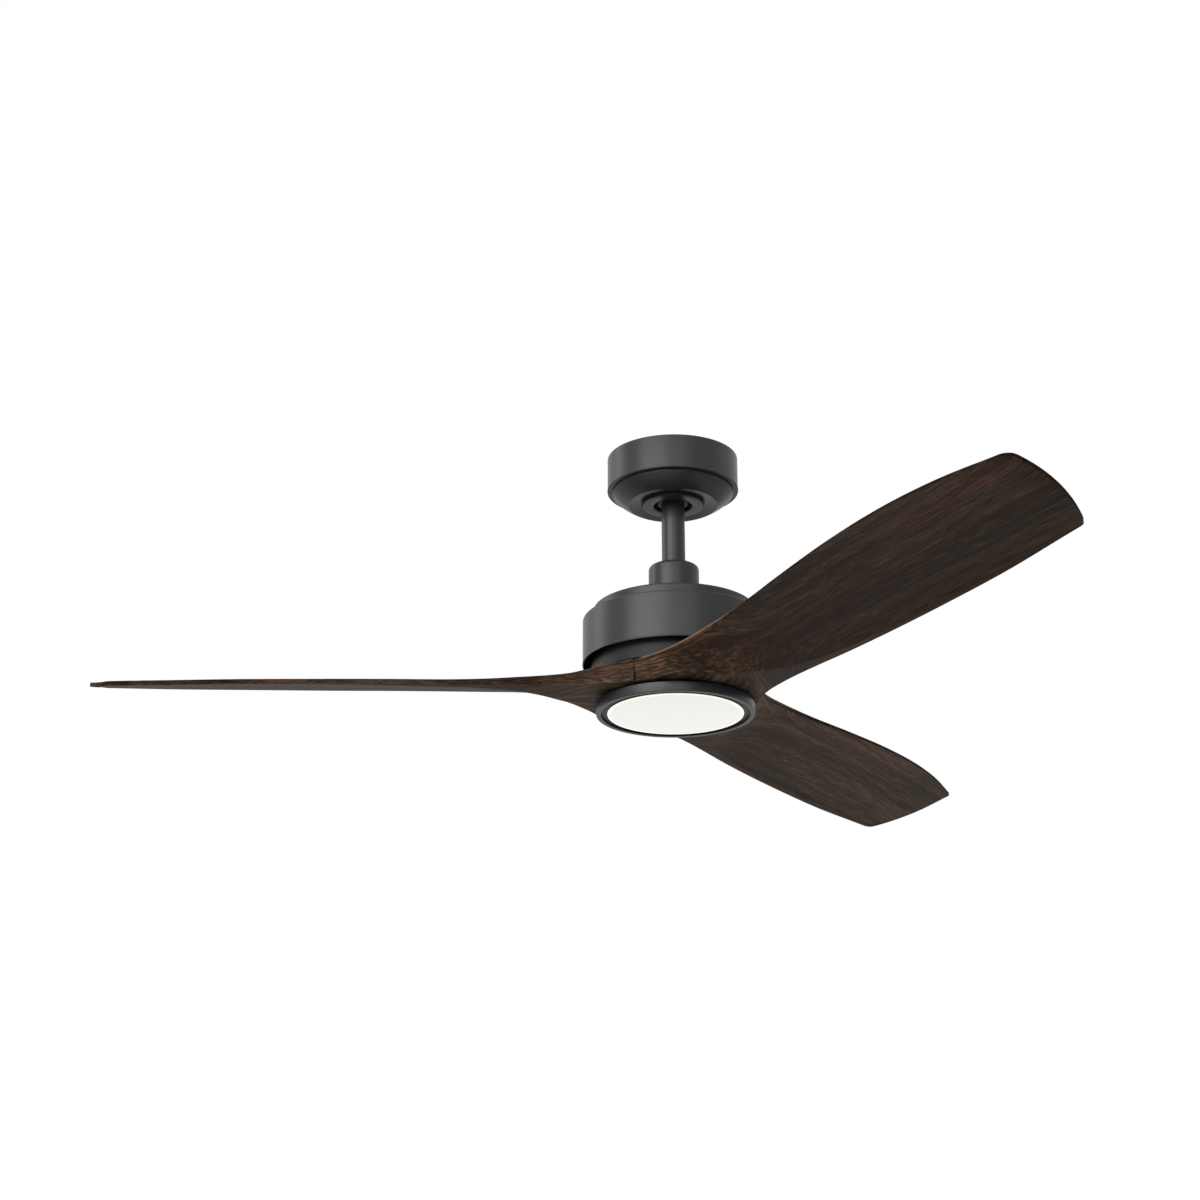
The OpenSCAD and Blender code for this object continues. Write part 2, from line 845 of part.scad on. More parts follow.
module rotor_bottom_bell() {
    color([0.5, 0.5, 0.52]) {
        difference() {
            union() {
                tube(bell_r, 12, bell_bottom_z, bell_bottom_z + 3);
                tube(bell_r, bell_r - 3.5, bell_bottom_z + 3 - eps, bell_split_z);
                tube(22, bearing_r, bell_bottom_z + 1, bell_bottom_z + 1 + bearing_w);
            }
            rod(bearing_r + 0.02, bell_bottom_z + 1, bell_bottom_z + 12);
            around(6, 40, first_blade_az)
                translate([0, 0, bell_bottom_z - 1])
                    cylinder(r = 2.1, h = 5, $fn = 24);
        }
        bell_lugs(bell_bottom_z + 8, bell_split_z);
    }
}

module rotor_magnets() {
    color([0.25, 0.25, 0.27])
        for (i = [0:magnet_count - 1])
            rotate([0, 0, 360 * i / magnet_count])
                intersection() {
                    tube(bell_r - 3.5, 67, -236, -213);
                    translate([50, -12.5, -240])
                        cube([30, 25, 30]);
                }
}

module rotor_bolts() {
    color([0.3, 0.3, 0.32])
        around(4, lug_ring_r, 45)
            translate([0, 0, bell_top_z - 8])
                screw_down(2, 31, 3.6, 3);
}

// The cup under the motor that the blades bolt to.
module blade_flange() {
    color([0.16, 0.16, 0.17])
        difference() {
            union() {
                tube(flange_r, 26, flange_bottom_z, flange_bottom_z + 4);
                tube(flange_r, flange_r - 2.5, flange_bottom_z + 3, -249);
                around(6, 40, first_blade_az)
                    rod(6, flange_bottom_z + 3, bell_bottom_z);
                at_blade_screws(flange_bottom_z + 3)
                    cylinder(r = 6.5, h = 6, $fn = 32);
            }
            around(6, 40, first_blade_az) {
                rod(2.1, flange_bottom_z - 1, bell_bottom_z + 1);
                rod(4.2, flange_bottom_z - 1, flange_bottom_z + 3.4);
            }
            at_blade_screws(flange_bottom_z - 1)
                cylinder(r = 2.55, h = 9, $fn = 32);
        }
}

module flange_screws() {
    color([0.3, 0.3, 0.32])
        around(6, 40, first_blade_az)
            translate([0, 0, flange_bottom_z + 3.4])
                screw_up(2, 22, 3.9, 2.8);
}

// ---------------------------------------------------------------- light

pan_top_z = -300;
pan_r = 84;
lens_bottom_z = lamp_bottom_z + 2.1;
lens_t = 1.3;
tab_half = 12;
tab_reach = 40;

module lamp_bracket() {
    color([0.62, 0.63, 0.65])
        difference() {
            union() {
                tube(32, shaft_r + 0.1, -279.5, -278);
                tube(32, 30.5, pan_top_z, -279);
                tube(82, 30.5, pan_top_z, pan_top_z + 1.5);
            }
            around(3, 60, 90)
                translate([0, 0, pan_top_z - 1])
                    cylinder(r = 1.6, h = 4, $fn = 24);
        }
}

// Two nuts clamp the bracket on the shaft.
module shaft_nuts() {
    color([0.7, 0.7, 0.72])
        for (z = [-284, -278])
            translate([0, 0, z])
                difference() {
                    cylinder(r = 13.5, h = 4.5, $fn = 6);
                    translate([0, 0, -1])
                        cylinder(r = shaft_r + 0.02, h = 8);
                }
}

module lamp_driver() {
    color([0.85, 0.85, 0.83])
        translate([-22, -17, pan_top_z])
            cube([44, 34, 9.4]);
}

module lamp_leads() {
    for (s = [-1, 1])
        color(s > 0 ? [0.8, 0.15, 0.1] : [0.1, 0.1, 0.1])
            wire([[22, s * 1.4, -297.5], [26, s * 1.4, -297.5], [26, s * 1.4, -302.3],
                  [81.85, s * 1.4, -302.3]], 0.6);
}

// A block that cuts a bayonet tab out of a ring.
module tab_wedge(i) {
    rotate([0, 0, 120 * i])
        translate([60, -tab_half, -310])
            cube([tab_reach, 2 * tab_half, 20]);
}

module lamp_pan() {
    color([0.8, 0.8, 0.8])
        difference() {
            union() {
                rod(pan_r, pan_top_z - sheet, pan_top_z);
                tube(pan_r, pan_r - 1.4, -306, pan_top_z);
                for (i = [0:2])
                    intersection() {
                        tube(85.6, pan_r - 1, -305.6, -304.2);
                        tab_wedge(i);
                    }
            }
            translate([26, 0, -303])
                cylinder(r = 3.2, h = 5, $fn = 32);
            around(3, 60, 90)
                translate([0, 0, pan_top_z - sheet - eps])
                    cylinder(r1 = 3.1, r2 = 1.6, h = sheet + 2 * eps, $fn = 32);
        }
}

module pan_screws() {
    color([0.6, 0.6, 0.62])
        around(3, 60, 90) {
            rod(1.5, pan_top_z - sheet, pan_top_z + 1.5);
            translate([0, 0, pan_top_z - sheet])
                cylinder(r1 = 3, r2 = 1.5, h = sheet, $fn = 32);
        }
}

module led_strip() {
    color([0.9, 0.9, 0.88])
        tube(pan_r - 1.45, pan_r - 2.1, -305.9, -302.6);
}

module led_chips() {
    color([0.98, 0.9, 0.6])
        around(led_count, 81.45, 180 / led_count)
            translate([0, 0, -304.4])
                cube([0.8, 2.8, 1.4], center = true);
}

module reflector_sheet() {
    color([0.97, 0.97, 0.97])
        rod(80.4, -303.3, -303);
}

module light_guide() {
    color([0.85, 0.92, 0.95, 0.6])
        rod(80.4, -305.5, -303.3);
}

// The ring hangs on the pan by three bayonet tabs.
module lamp_ring() {
    color([0.34, 0.34, 0.35]) {
        rotate_extrude()
            polygon([
                [lamp_r - 0.8, lamp_top_z], [lamp_r, lamp_top_z - 0.8],
                [lamp_r, lamp_bottom_z + 0.8], [lamp_r - 0.8, lamp_bottom_z],
                [lamp_open_r, lamp_bottom_z], [lamp_open_r, lens_bottom_z],
                [86.2, lens_bottom_z], [86.2, lamp_top_z]
            ]);
        for (i = [0:2])
            intersection() {
                tube(86.4, 84.4, -303.9, -302.4);
                tab_wedge(i);
            }
    }
}

module lamp_lens() {
    color([0.97, 0.97, 0.94])
        union() {
            rod(85.4, lens_bottom_z, lens_bottom_z + lens_t);
            rod(lens_plate_r, lamp_bottom_z + 0.2, lens_bottom_z + 0.1);
        }
}

module lens_clips() {
    color([0.6, 0.6, 0.62])
        for (i = [0:2])
            rotate([0, 0, 120 * i + 60])
                intersection() {
                    union() {
                        tube(86.2, 85.7, lens_bottom_z + 0.1, -302.5);
                        tube(86.2, 82.9, lens_bottom_z + lens_t, lens_bottom_z + lens_t + 0.3);
                    }
                    translate([60, -4, -310])
                        cube([tab_reach, 8, 20]);
                }
}

ceiling_bracket();
canopy();
canopy_screws();
canopy_cover();
canopy_collar();
remote_receiver();
receiver_leads();
hanger_ball();
ball_cross_pin();
ball_set_screw();
downrod();
lead_wires();
lead_connector();
yoke_cover();
motor_yoke();
clevis_pin();
cotter_pin();
yoke_set_screws();
housing_screws();
motor_housing();
motor_shaft();
stator_core();
stator_windings();
bearing_inner_races();
bearing_balls();
bearing_outer_races();
rotor_top_bell();
rotor_bottom_bell();
rotor_magnets();
rotor_bolts();
blade_flange();
flange_screws();
blade_left();
blade_near();
blade_far();
blade_screws();
blade_washers();
lamp_bracket();
shaft_nuts();
lamp_driver();
lamp_leads();
lamp_pan();
pan_screws();
led_strip();
led_chips();
reflector_sheet();
light_guide();
lamp_ring();
lamp_lens();
lens_clips();
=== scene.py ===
"""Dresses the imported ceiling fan: satin dark housings, dark walnut blades and a lit opal lens.

Everything is in metres, +Z up, with the origin at the bracket's ceiling face. Heights and
radii are read from the frame's boxes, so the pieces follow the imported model.
"""

import json
import logging
import math
from dataclasses import dataclass, field
from enum import Enum
from typing import Iterable, Sequence

import bmesh
import bpy
from mathutils import Matrix, Vector


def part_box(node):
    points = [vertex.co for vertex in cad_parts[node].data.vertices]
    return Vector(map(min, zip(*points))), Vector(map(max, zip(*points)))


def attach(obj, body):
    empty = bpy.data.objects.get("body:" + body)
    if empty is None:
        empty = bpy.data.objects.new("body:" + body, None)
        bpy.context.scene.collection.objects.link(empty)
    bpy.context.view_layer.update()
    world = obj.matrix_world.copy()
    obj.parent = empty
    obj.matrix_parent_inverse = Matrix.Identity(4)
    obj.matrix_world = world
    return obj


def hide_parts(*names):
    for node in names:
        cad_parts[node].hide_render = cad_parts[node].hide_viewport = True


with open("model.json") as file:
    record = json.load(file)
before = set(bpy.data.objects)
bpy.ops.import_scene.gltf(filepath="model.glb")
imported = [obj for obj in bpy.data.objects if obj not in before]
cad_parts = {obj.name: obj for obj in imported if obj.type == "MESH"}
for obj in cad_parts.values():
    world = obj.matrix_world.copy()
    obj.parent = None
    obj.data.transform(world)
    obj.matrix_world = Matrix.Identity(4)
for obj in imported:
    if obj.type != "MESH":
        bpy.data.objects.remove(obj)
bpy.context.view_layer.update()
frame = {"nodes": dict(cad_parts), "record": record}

log = logging.getLogger("ceiling_fan")
MM = 0.001
CORNER_STEPS = 5  # how many straight pieces a rounded corner has
HUB_WOOD = (0.31, 0.34)  # distances from the origin where the hub's tone turns into the blade's
HUB_GRAIN = (0.31, 0.36)  # the same for the grain
HUB_COARSENESS = 0.15  # how fine the hub's grain is across, beside the blade's
Point = tuple[float, float]
Corner = tuple[float, float, float]


class Body(Enum):
    """The rigid bodies that pieces ride on."""

    CEILING = "ceiling_group"
    HUNG = "hung_group"
    ROTOR = "rotor"
    LENS = "lens_group"


class Socket(Enum):
    """The kinds of sockets that the node groups have."""

    NUMBER = "NodeSocketFloat"
    COLOR = "NodeSocketColor"
    VECTOR = "NodeSocketVector"


# ------------------------------------------------------------------ node helpers


class NodeSheet:
    """A small wrapper that adds and links shader nodes in one tree."""

    def __init__(self, tree: bpy.types.NodeTree) -> None:
        """Keeps the tree that nodes are added to."""
        self.tree = tree

    def feed(self, target: bpy.types.NodeSocket, value: object) -> None:
        """Gives an input its value.

        Args:
            target: the input.
            value: an output socket to link, or a plain value. A colour has three parts.
        """
        if isinstance(value, bpy.types.NodeSocket):
            self.tree.links.new(value, target)
        elif target.type == "RGBA":
            target.default_value = (*value, 1.0)
        else:
            target.default_value = value

    def dress(self, node: bpy.types.Node, **values: object) -> None:
        """Feeds a node's inputs by their names, in which underscores stand for spaces."""
        for name, value in values.items():
            self.feed(node.inputs[name.replace("_", " ")], value)

    def add(self, kind: str, **values: object) -> bpy.types.Node:
        """Adds one node.

        Args:
            kind: the node's type, such as "ShaderNodeMix".
            values: properties of the node, or its inputs, named with an "in_" prefix.

        Returns:
            The new node.
        """
        node = self.tree.nodes.new(kind)
        for name, value in values.items():
            if name.startswith("in_"):
                self.dress(node, **{name[3:]: value})
            else:
                setattr(node, name, value)
        return node

    def math(
        self, operation: str, a: object, b: object, clamp: bool = False
    ) -> bpy.types.NodeSocket:
        """Adds a Math node.

        Args:
            operation: the name of the operation.
            a: a number or an output socket.
            b: a number or an output socket.
            clamp: whether the result stays between 0 and 1.

        Returns:
            The node's output.
        """
        node = self.add("ShaderNodeMath", operation=operation, use_clamp=clamp)
        self.feed(node.inputs[0], a)
        self.feed(node.inputs[1], b)
        return node.outputs[0]

    def swing(self, value: bpy.types.NodeSocket, middle: float, amount: object
              ) -> bpy.types.NodeSocket:
        """Makes a value swing about 0: (value - middle) times the amount."""
        return self.math("MULTIPLY", self.math("SUBTRACT", value, middle), amount)

    def vector_math(self, operation: str, a: object, b: object = None) -> bpy.types.NodeSocket:
        """Adds a Vector Math node.

        Args:
            operation: the name of the operation.
            a: a vector or an output socket.
            b: the second vector, the factor of SCALE, or nothing for LENGTH.

        Returns:
            The resulting vector, or the length.
        """
        node = self.add("ShaderNodeVectorMath", operation=operation)
        self.feed(node.inputs[0], a)
        if b is not None:
            self.feed(node.inputs["Scale" if operation == "SCALE" else 1], b)
        return node.outputs["Value" if operation == "LENGTH" else "Vector"]

    def remap(
        self, value: bpy.types.NodeSocket, low: float, high: float,
        to_low: float = 0.0, to_high: float = 1.0,
    ) -> bpy.types.NodeSocket:
        """Maps low..high to to_low..to_high, clamped, with soft ends.

        Args:
            value: the output to read.
            low: the value that becomes to_low.
            high: the value that becomes to_high.
            to_low: the result at low.
            to_high: the result at high.

        Returns:
            The mapped output.
        """
        node = self.add("ShaderNodeMapRange", interpolation_type="SMOOTHSTEP", in_Value=value,
                        in_From_Min=low, in_From_Max=high, in_To_Min=to_low, in_To_Max=to_high)
        return node.outputs["Result"]

    def mix_colors(
        self, factor: object, a: object, b: object, blend: str = "MIX"
    ) -> bpy.types.NodeSocket:
        """Mixes two colours.

        Args:
            factor: the number or output that drives the mix.
            a: a colour or an output socket, seen at factor 0.
            b: a colour or an output socket, seen at factor 1.
            blend: the blend type.

        Returns:
            The mixed colour.
        """
        node = self.add("ShaderNodeMix", data_type="RGBA", blend_type=blend)
        for index, value in ((0, factor), (6, a), (7, b)):
            self.feed(node.inputs[index], value)
        return node.outputs[2]

    def noise(
        self, vector: bpy.types.NodeSocket, scale: object, detail: float = 3.0,
        stretch: Corner | None = None,
    ) -> bpy.types.NodeSocket:
        """Adds a noise texture.

        Args:
            vector: the coordinates.
            scale: the texture's scale.
            detail: the number of finer octaves.
            stretch: how much finer the noise is along each axis.

        Returns:
            The noise value.
        """
        if stretch:
            mapping = self.add("ShaderNodeMapping", in_Vector=vector, in_Scale=stretch)
            vector = mapping.outputs["Vector"]
        texture = self.add("ShaderNodeTexNoise", in_Vector=vector, in_Scale=scale,
                           in_Detail=detail)
        return texture.outputs["Fac"]

    def relief(self, height: bpy.types.NodeSocket, strength: float, depth: float
               ) -> bpy.types.NodeSocket:
        """Turns a height into a normal, by a Bump node with a depth in metres."""
        bump = self.add("ShaderNodeBump", in_Height=height, in_Strength=strength,
                        in_Distance=depth)
        return bump.outputs["Normal"]

    def rays(self, *kinds: str) -> bpy.types.NodeSocket:
        """Tells rays of the named kinds from all others: 1 for those, and 0 for the rest."""
        path = self.add("ShaderNodeLightPath")
        seen: object = 0.0
        for kind in kinds:
            seen = self.math("ADD", seen, path.outputs[f"Is {kind} Ray"], True)
        return seen


def new_group(
    name: str, inputs: dict[str, Socket]
) -> tuple[NodeSheet, bpy.types.Node, bpy.types.Node]:
    """Starts a shader node group that puts out a surface's Color, Roughness and Height.

    Args:
        name: the group's name.
        inputs: the kind of each input, by its name.

    Returns:
        A sheet to build the group with, and its input and output nodes.
    """
    tree = bpy.data.node_groups.new(name, "ShaderNodeTree")
    outputs = {"Color": Socket.COLOR, "Roughness": Socket.NUMBER, "Height": Socket.NUMBER}
    for side, sockets in (("INPUT", inputs), ("OUTPUT", outputs)):
        for label, kind in sockets.items():
            tree.interface.new_socket(label, in_out=side, socket_type=kind.value)
    sheet = NodeSheet(tree)
    return sheet, sheet.add("NodeGroupInput"), sheet.add("NodeGroupOutput")


def build_walnut_group() -> bpy.types.NodeTree:
    """Builds the carved walnut pattern: bands of tone, streaks, fibres and open pores.

    The blade runs along X of the given vector.

    Returns:
        The node group.
    """
    sheet, given, made = new_group("carved_walnut", {
        "Vector": Socket.VECTOR, "Dark": Socket.COLOR, "Middle": Socket.COLOR,
        "Light": Socket.COLOR, "Edge": Socket.NUMBER})
    vector = given.outputs["Vector"]
    # The vector is bent by a slow noise, so that the grain wanders.
    sway = sheet.swing(sheet.noise(vector, 1.0, 2.0, (3.0, 9.0, 14.0)), 0.5, 0.030)
    bend = sheet.add("ShaderNodeCombineXYZ", in_Y=sway, in_Z=sway)
    grain = sheet.vector_math("ADD", vector, bend.outputs["Vector"])
    # Slow bands of tone, streaks, fibres and pores, all long along the blade.
    bands = sheet.noise(grain, 1.0, 2.0, (0.9, 20.0, 12.0))
    streaks = sheet.noise(grain, 1.0, 4.0, (3.5, 190.0, 110.0))
    fibres = sheet.noise(grain, 1.0, 2.5, (24.0, 900.0, 620.0))
    pores = sheet.remap(sheet.noise(grain, 1.0, 1.0, (45.0, 1300.0, 500.0)), 0.60, 0.68)
    tone = sheet.math("ADD", sheet.swing(streaks, 0.5, 1.0), sheet.swing(fibres, 0.5, 1.9))
    tone = sheet.math("ADD", tone, sheet.swing(bands, 0.27, 1.1))
    color = sheet.mix_colors(sheet.remap(tone, -0.04, 0.26), given.outputs["Dark"],
                             given.outputs["Middle"])
    color = sheet.mix_colors(sheet.remap(tone, 0.24, 0.66), color, given.outputs["Light"])
    # Some bands are redder than others.
    warm = sheet.noise(grain, 1.0, 2.0, (1.1, 26.0, 26.0))
    color = sheet.mix_colors(sheet.remap(warm, 0.46, 0.66, 0.0, 0.6), color, (1.28, 0.86, 0.66),
                             "MULTIPLY")
    color = sheet.mix_colors(sheet.math("MULTIPLY", pores, 0.45), color, (0.006, 0.004, 0.003))
    # A painted highlight: a lighter tan line along the leading edge's arris near the hub.
    color = sheet.mix_colors(sheet.remap(given.outputs["Edge"], 0.0, 0.45, 0.0, 0.38), color,
                             (0.125, 0.082, 0.053))
    sheet.dress(made, Color=color,
                Roughness=sheet.math("ADD", 0.55, sheet.math("MULTIPLY", fibres, 0.16)),
                Height=sheet.math("SUBTRACT", sheet.math("MULTIPLY", fibres, 0.5),
                                  sheet.math("MULTIPLY", pores, 0.8)))
    return sheet.tree


def build_skin_group() -> bpy.types.NodeTree:
    """Builds the fine skin of paint, plastic and metal: mottling, grain and handling marks.

    Returns:
        The node group.
    """
    sheet, given, made = new_group("fine_skin", {
        "Vector": Socket.VECTOR, "Color": Socket.COLOR, "Roughness": Socket.NUMBER,
        "Mottle": Socket.NUMBER, "Grain": Socket.NUMBER, "Stretch": Socket.VECTOR})
    place = sheet.vector_math("MULTIPLY", given.outputs["Vector"], given.outputs["Stretch"])
    fine = sheet.noise(place, given.outputs["Grain"], 2.0)
    cloud = sheet.noise(place, 26.0)
    both = sheet.math("ADD", sheet.math("MULTIPLY", fine, 0.6), sheet.math("MULTIPLY", cloud, 0.4))
    mottle = sheet.swing(both, 0.5, given.outputs["Mottle"])
    bright = sheet.math("ADD", 1.0, sheet.math("MULTIPLY", mottle, 2.0))
    sheet.dress(made, Color=sheet.vector_math("SCALE", given.outputs["Color"], bright),
                Roughness=sheet.math("ADD", given.outputs["Roughness"], mottle, True),
                Height=fine)
    return sheet.tree


WALNUT = build_walnut_group()
SKIN = build_skin_group()


# ------------------------------------------------------------------ finishes


def start_material(
    name: str
) -> tuple[bpy.types.Material, NodeSheet, bpy.types.Node, bpy.types.NodeSocket]:
    """Makes a material with a bare Principled shader.

    Args:
        name: the material's name.

    Returns:
        The material, a sheet for its nodes, its shader and its Object coordinates.
    """
    material = bpy.data.materials.new(name)
    material.use_nodes = True
    sheet = NodeSheet(material.node_tree)
    place = sheet.add("ShaderNodeTexCoord").outputs["Object"]
    return material, sheet, material.node_tree.nodes["Principled BSDF"], place


@dataclass(frozen=True)
class SkinFinish:
    """A painted, moulded or machined surface with a fine even skin.

    Attributes:
        name: the material's name.
        color: the base colour.
        roughness: the middle roughness.
        metallic: 1 for bare metal, 0 for paint and plastic.
        mottle: how much colour and roughness wander.
        grain: the scale of the fine grain.
        stretch: how much finer the grain is along each axis, as on brushed metal.
        bump: the depth of the fine grain, in metres.
        coat: the weight of a clear coat.
        specular: the shader's specular level.
    """

    name: str
    color: Corner
    roughness: float = 0.4
    metallic: float = 0.0
    mottle: float = 0.12
    grain: float = 900.0
    stretch: Corner = (1.0, 1.0, 1.0)
    bump: float = 0.00002
    coat: float = 0.0
    specular: float = 0.5

    def build(self) -> bpy.types.Material:
        """Builds the material.

        Returns:
            The finished material.
        """
        material, sheet, shader, place = start_material(self.name)
        skin = sheet.add("ShaderNodeGroup", node_tree=SKIN, in_Vector=place, in_Color=self.color,
                         in_Roughness=self.roughness, in_Mottle=self.mottle, in_Grain=self.grain,
                         in_Stretch=self.stretch)
        sheet.dress(shader, Base_Color=skin.outputs["Color"],
                    Roughness=skin.outputs["Roughness"],
                    Normal=sheet.relief(skin.outputs["Height"], 0.6, self.bump),
                    Metallic=self.metallic, Coat_Weight=self.coat,
                    Specular_IOR_Level=self.specular)
        return material


@dataclass(frozen=True)
class WoodFinish:
    """Dark satin walnut whose grain runs along a blade.

    Attributes:
        name: the material's name.
        azimuth: the blade's direction in degrees, which the grain follows.
        shift: moves the pattern, so that no two blades are alike.
        tone: how much lighter or darker this blade's wood is made. This is painted light for the
            light
        and sheen that the blade gets at its angle.
        dark: the colour of the darkest grain.
        middle: the usual colour.
        light: the colour of the lightest grain.
        hub_lift: how much lighter the wood is round the hub.
        specular: the shader's specular level.
        weave: how fine the grain is along, across and through the board, beside the usual
            grain. Round the hub it is coarser across, as the carving turns there.
    """

    name: str
    azimuth: float
    shift: Corner
    tone: float
    dark: Corner = (0.0115, 0.0078, 0.0043)
    middle: Corner = (0.0290, 0.0182, 0.0108)
    light: Corner = (0.072, 0.0460, 0.0315)
    hub_lift: float = 1.4
    specular: float = 0.070
    weave: Corner = (1.0, 1.0, 1.0)

    def scaled_for_lighting(self, color: Corner) -> Corner:
        """Lightens or darkens a colour by this blade's tone, which is painted light."""
        return tuple(self.tone * part for part in color)

    def build(self) -> bpy.types.Material:
        """Builds the material.

        Returns:
            The finished material.
        """
        material, sheet, shader, place = start_material(self.name)
        turned = sheet.add("ShaderNodeMapping", in_Vector=place, in_Location=self.shift,
                           in_Rotation=(0.0, 0.0, -math.radians(self.azimuth)))
        reach = sheet.vector_math("LENGTH", place)
        along, across, through = self.weave
        across = sheet.remap(reach, *HUB_GRAIN, HUB_COARSENESS * across, across)
        weave = sheet.add("ShaderNodeCombineXYZ", in_X=along, in_Y=across, in_Z=through)
        grain = sheet.vector_math("MULTIPLY", turned.outputs["Vector"], weave.outputs["Vector"])
        # The painted highlight along the leading arris, read from the mesh.
        edge = sheet.add("ShaderNodeAttribute", attribute_name="painted_arris_highlight")
        wood = sheet.add("ShaderNodeGroup", node_tree=WALNUT, in_Vector=grain,
                         in_Dark=self.scaled_for_lighting(self.dark), in_Middle=self.scaled_for_lighting(self.middle),
                         in_Light=self.scaled_for_lighting(self.light), in_Edge=edge.outputs["Fac"])
        lift = sheet.remap(reach, *HUB_WOOD, self.hub_lift, 1.0)
        sheet.dress(shader, Base_Color=sheet.vector_math("SCALE", wood.outputs["Color"], lift),
                    Roughness=wood.outputs["Roughness"],
                    Normal=sheet.relief(wood.outputs["Height"], 0.5, 0.00012),
                    Specular_IOR_Level=self.specular)
        return material


@dataclass(frozen=True)
class OpalFinish:
    """An opal lens, lit from inside, with a brighter and warmer rounded rim.

    Attributes:
        name: the material's name.
        radius: the visible radius of the lens.
        strength: the strength of the light it gives.
        rim: where the rim begins and is in full, as shares of the radius.
        middle_color: the colour of the light inside the rim.
        rim_color: the colour of the light from the rim.
    """

    name: str
    radius: float
    strength: float = 0.67
    rim: Point = (0.950, 0.966)
    middle_color: Corner = (0.89, 0.88, 0.85)
    rim_color: Corner = (1.14, 1.10, 0.99)

    def build(self) -> bpy.types.Material:
        """Builds the material.

        Returns:
            The finished material.
        """
        material, sheet, shader, place = start_material(self.name)
        reach = sheet.vector_math("LENGTH", sheet.vector_math("MULTIPLY", place, (1.0, 1.0, 0.0)))
        rim = sheet.remap(reach, self.radius * self.rim[0], self.radius * self.rim[1])
        speck = sheet.noise(place, 700.0, 2.0)
        glow = sheet.mix_colors(rim, self.middle_color, self.rim_color)
        glow = sheet.mix_colors(sheet.remap(speck, 0.3, 0.7, 0.0, 0.05), glow, (0.8, 0.8, 0.75))
        sheet.dress(shader, Base_Color=sheet.mix_colors(0.7, glow, (0.0, 0.0, 0.0)),
                    Roughness=sheet.remap(speck, 0.2, 0.8, 0.30, 0.42),
                    Emission_Color=glow, Emission_Strength=self.strength)
        return material


@dataclass(frozen=True)
class ClearFinish:
    """Clear acrylic with a faint surface haze.

    Attributes:
        name: the material's name.
        color: the tint.
    """

    name: str
    color: Corner = (0.92, 0.95, 0.97)

    def build(self) -> bpy.types.Material:
        """Builds the material.

        Returns:
            The finished material.
        """
        material, sheet, shader, place = start_material(self.name)
        haze = sheet.noise(place, 240.0)
        sheet.dress(shader, Base_Color=self.color,
                    Roughness=sheet.remap(haze, 0.3, 0.7, 0.04, 0.14),
                    Transmission_Weight=1.0, IOR=1.49)
        return material


GRAPHITE = SkinFinish("graphite_paint", (0.019, 0.019, 0.0195), roughness=0.36,
                      mottle=0.04, grain=2600.0, bump=0.000012, specular=0.2)
# Near-black paint for the lens's side and flange: painted shade for the shade in the groove round
# the lens.
GROOVE_SHADE_PAINT = SkinFinish("groove_painted_shade", (0.006, 0.006, 0.006), roughness=0.45, mottle=0.06,
                          grain=2200.0, specular=0.15)
FINISHES: dict[str, SkinFinish | ClearFinish] = {
    "black_metal": SkinFinish("black_paint", (0.0105, 0.0105, 0.011), 0.5, mottle=0.06,
                              grain=2200.0, specular=0.15),
    "galvanised_steel": SkinFinish("galvanised_steel", (0.45, 0.46, 0.47), 0.42, 1.0, 0.22, 160.0),
    "machined_steel": SkinFinish("machined_steel", (0.55, 0.55, 0.56), 0.28, 1.0, 0.10, 700.0,
                                 (1.0, 1.0, 6.0)),
    "cast_aluminium": SkinFinish("cast_aluminium", (0.50, 0.50, 0.51), 0.5, 1.0, 0.16, 1100.0,
                                 bump=0.00006),
    "core_steel": SkinFinish("core_laminations", (0.20, 0.21, 0.23), 0.45, 1.0, 0.25, 900.0,
                             (0.02, 0.02, 2.2), bump=0.00008),
    "magnet": SkinFinish("sintered_magnet", (0.035, 0.035, 0.04), 0.45, 0.4, 0.20, 1400.0),
    "copper_wire": SkinFinish("enamelled_copper", (0.52, 0.20, 0.07), 0.34, 0.9, 0.30, 1500.0,
                              (0.3, 0.3, 1.0), bump=0.00012),
    "black_plastic": SkinFinish("black_plastic", (0.018, 0.018, 0.019), 0.55, mottle=0.08,
                                grain=1600.0, bump=0.00004),
    "white_plastic": SkinFinish("white_plastic", (0.74, 0.74, 0.70), 0.45, mottle=0.05,
                                grain=1500.0, bump=0.00003),
    "wire_insulation": SkinFinish("wire_insulation", (0.30, 0.30, 0.31), 0.42, mottle=0.10,
                                  grain=800.0),
    "white_metal": SkinFinish("white_enamel", (0.78, 0.78, 0.76), 0.30, mottle=0.04, coat=0.3),
    "led_phosphor": SkinFinish("led_phosphor", (0.85, 0.62, 0.16), 0.5, mottle=0.10),
    "clear_acrylic": ClearFinish("clear_acrylic"),
}


# ------------------------------------------------------------------ mesh helpers


def rounded_outline(corners: Sequence[Corner]) -> list[Point]:
    """Rounds the corners of an outline.

    Args:
        corners: (radius, height, rounding) of each corner of a closed outline.

    Returns:
        The outline's points.
    """
    points: list[Point] = []
    for index, (x, z, rounding) in enumerate(corners):
        if rounding <= 0.0:
            points.append((x, z))
            continue
        here = Vector((x, z))
        before = (Vector(corners[index - 1][:2]) - here).normalized()
        after = (Vector(corners[(index + 1) % len(corners)][:2]) - here).normalized()
        half = before.angle(after) / 2.0
        reach = rounding / math.tan(half)
        centre = here + (before + after).normalized() * (rounding / math.sin(half))
        start = here + before * reach - centre
        end = here + after * reach - centre
        for step in range(CORNER_STEPS + 1):
            spoke = start.slerp(end, step / CORNER_STEPS)
            points.append(tuple(centre + spoke.normalized() * rounding))
    return points


def add_object(name: str, data: bpy.types.ID) -> bpy.types.Object:
    """Adds an object with the given data to the scene, at the origin, and returns it."""
    item = bpy.data.objects.new(name, data)
    bpy.context.scene.collection.objects.link(item)
    return item


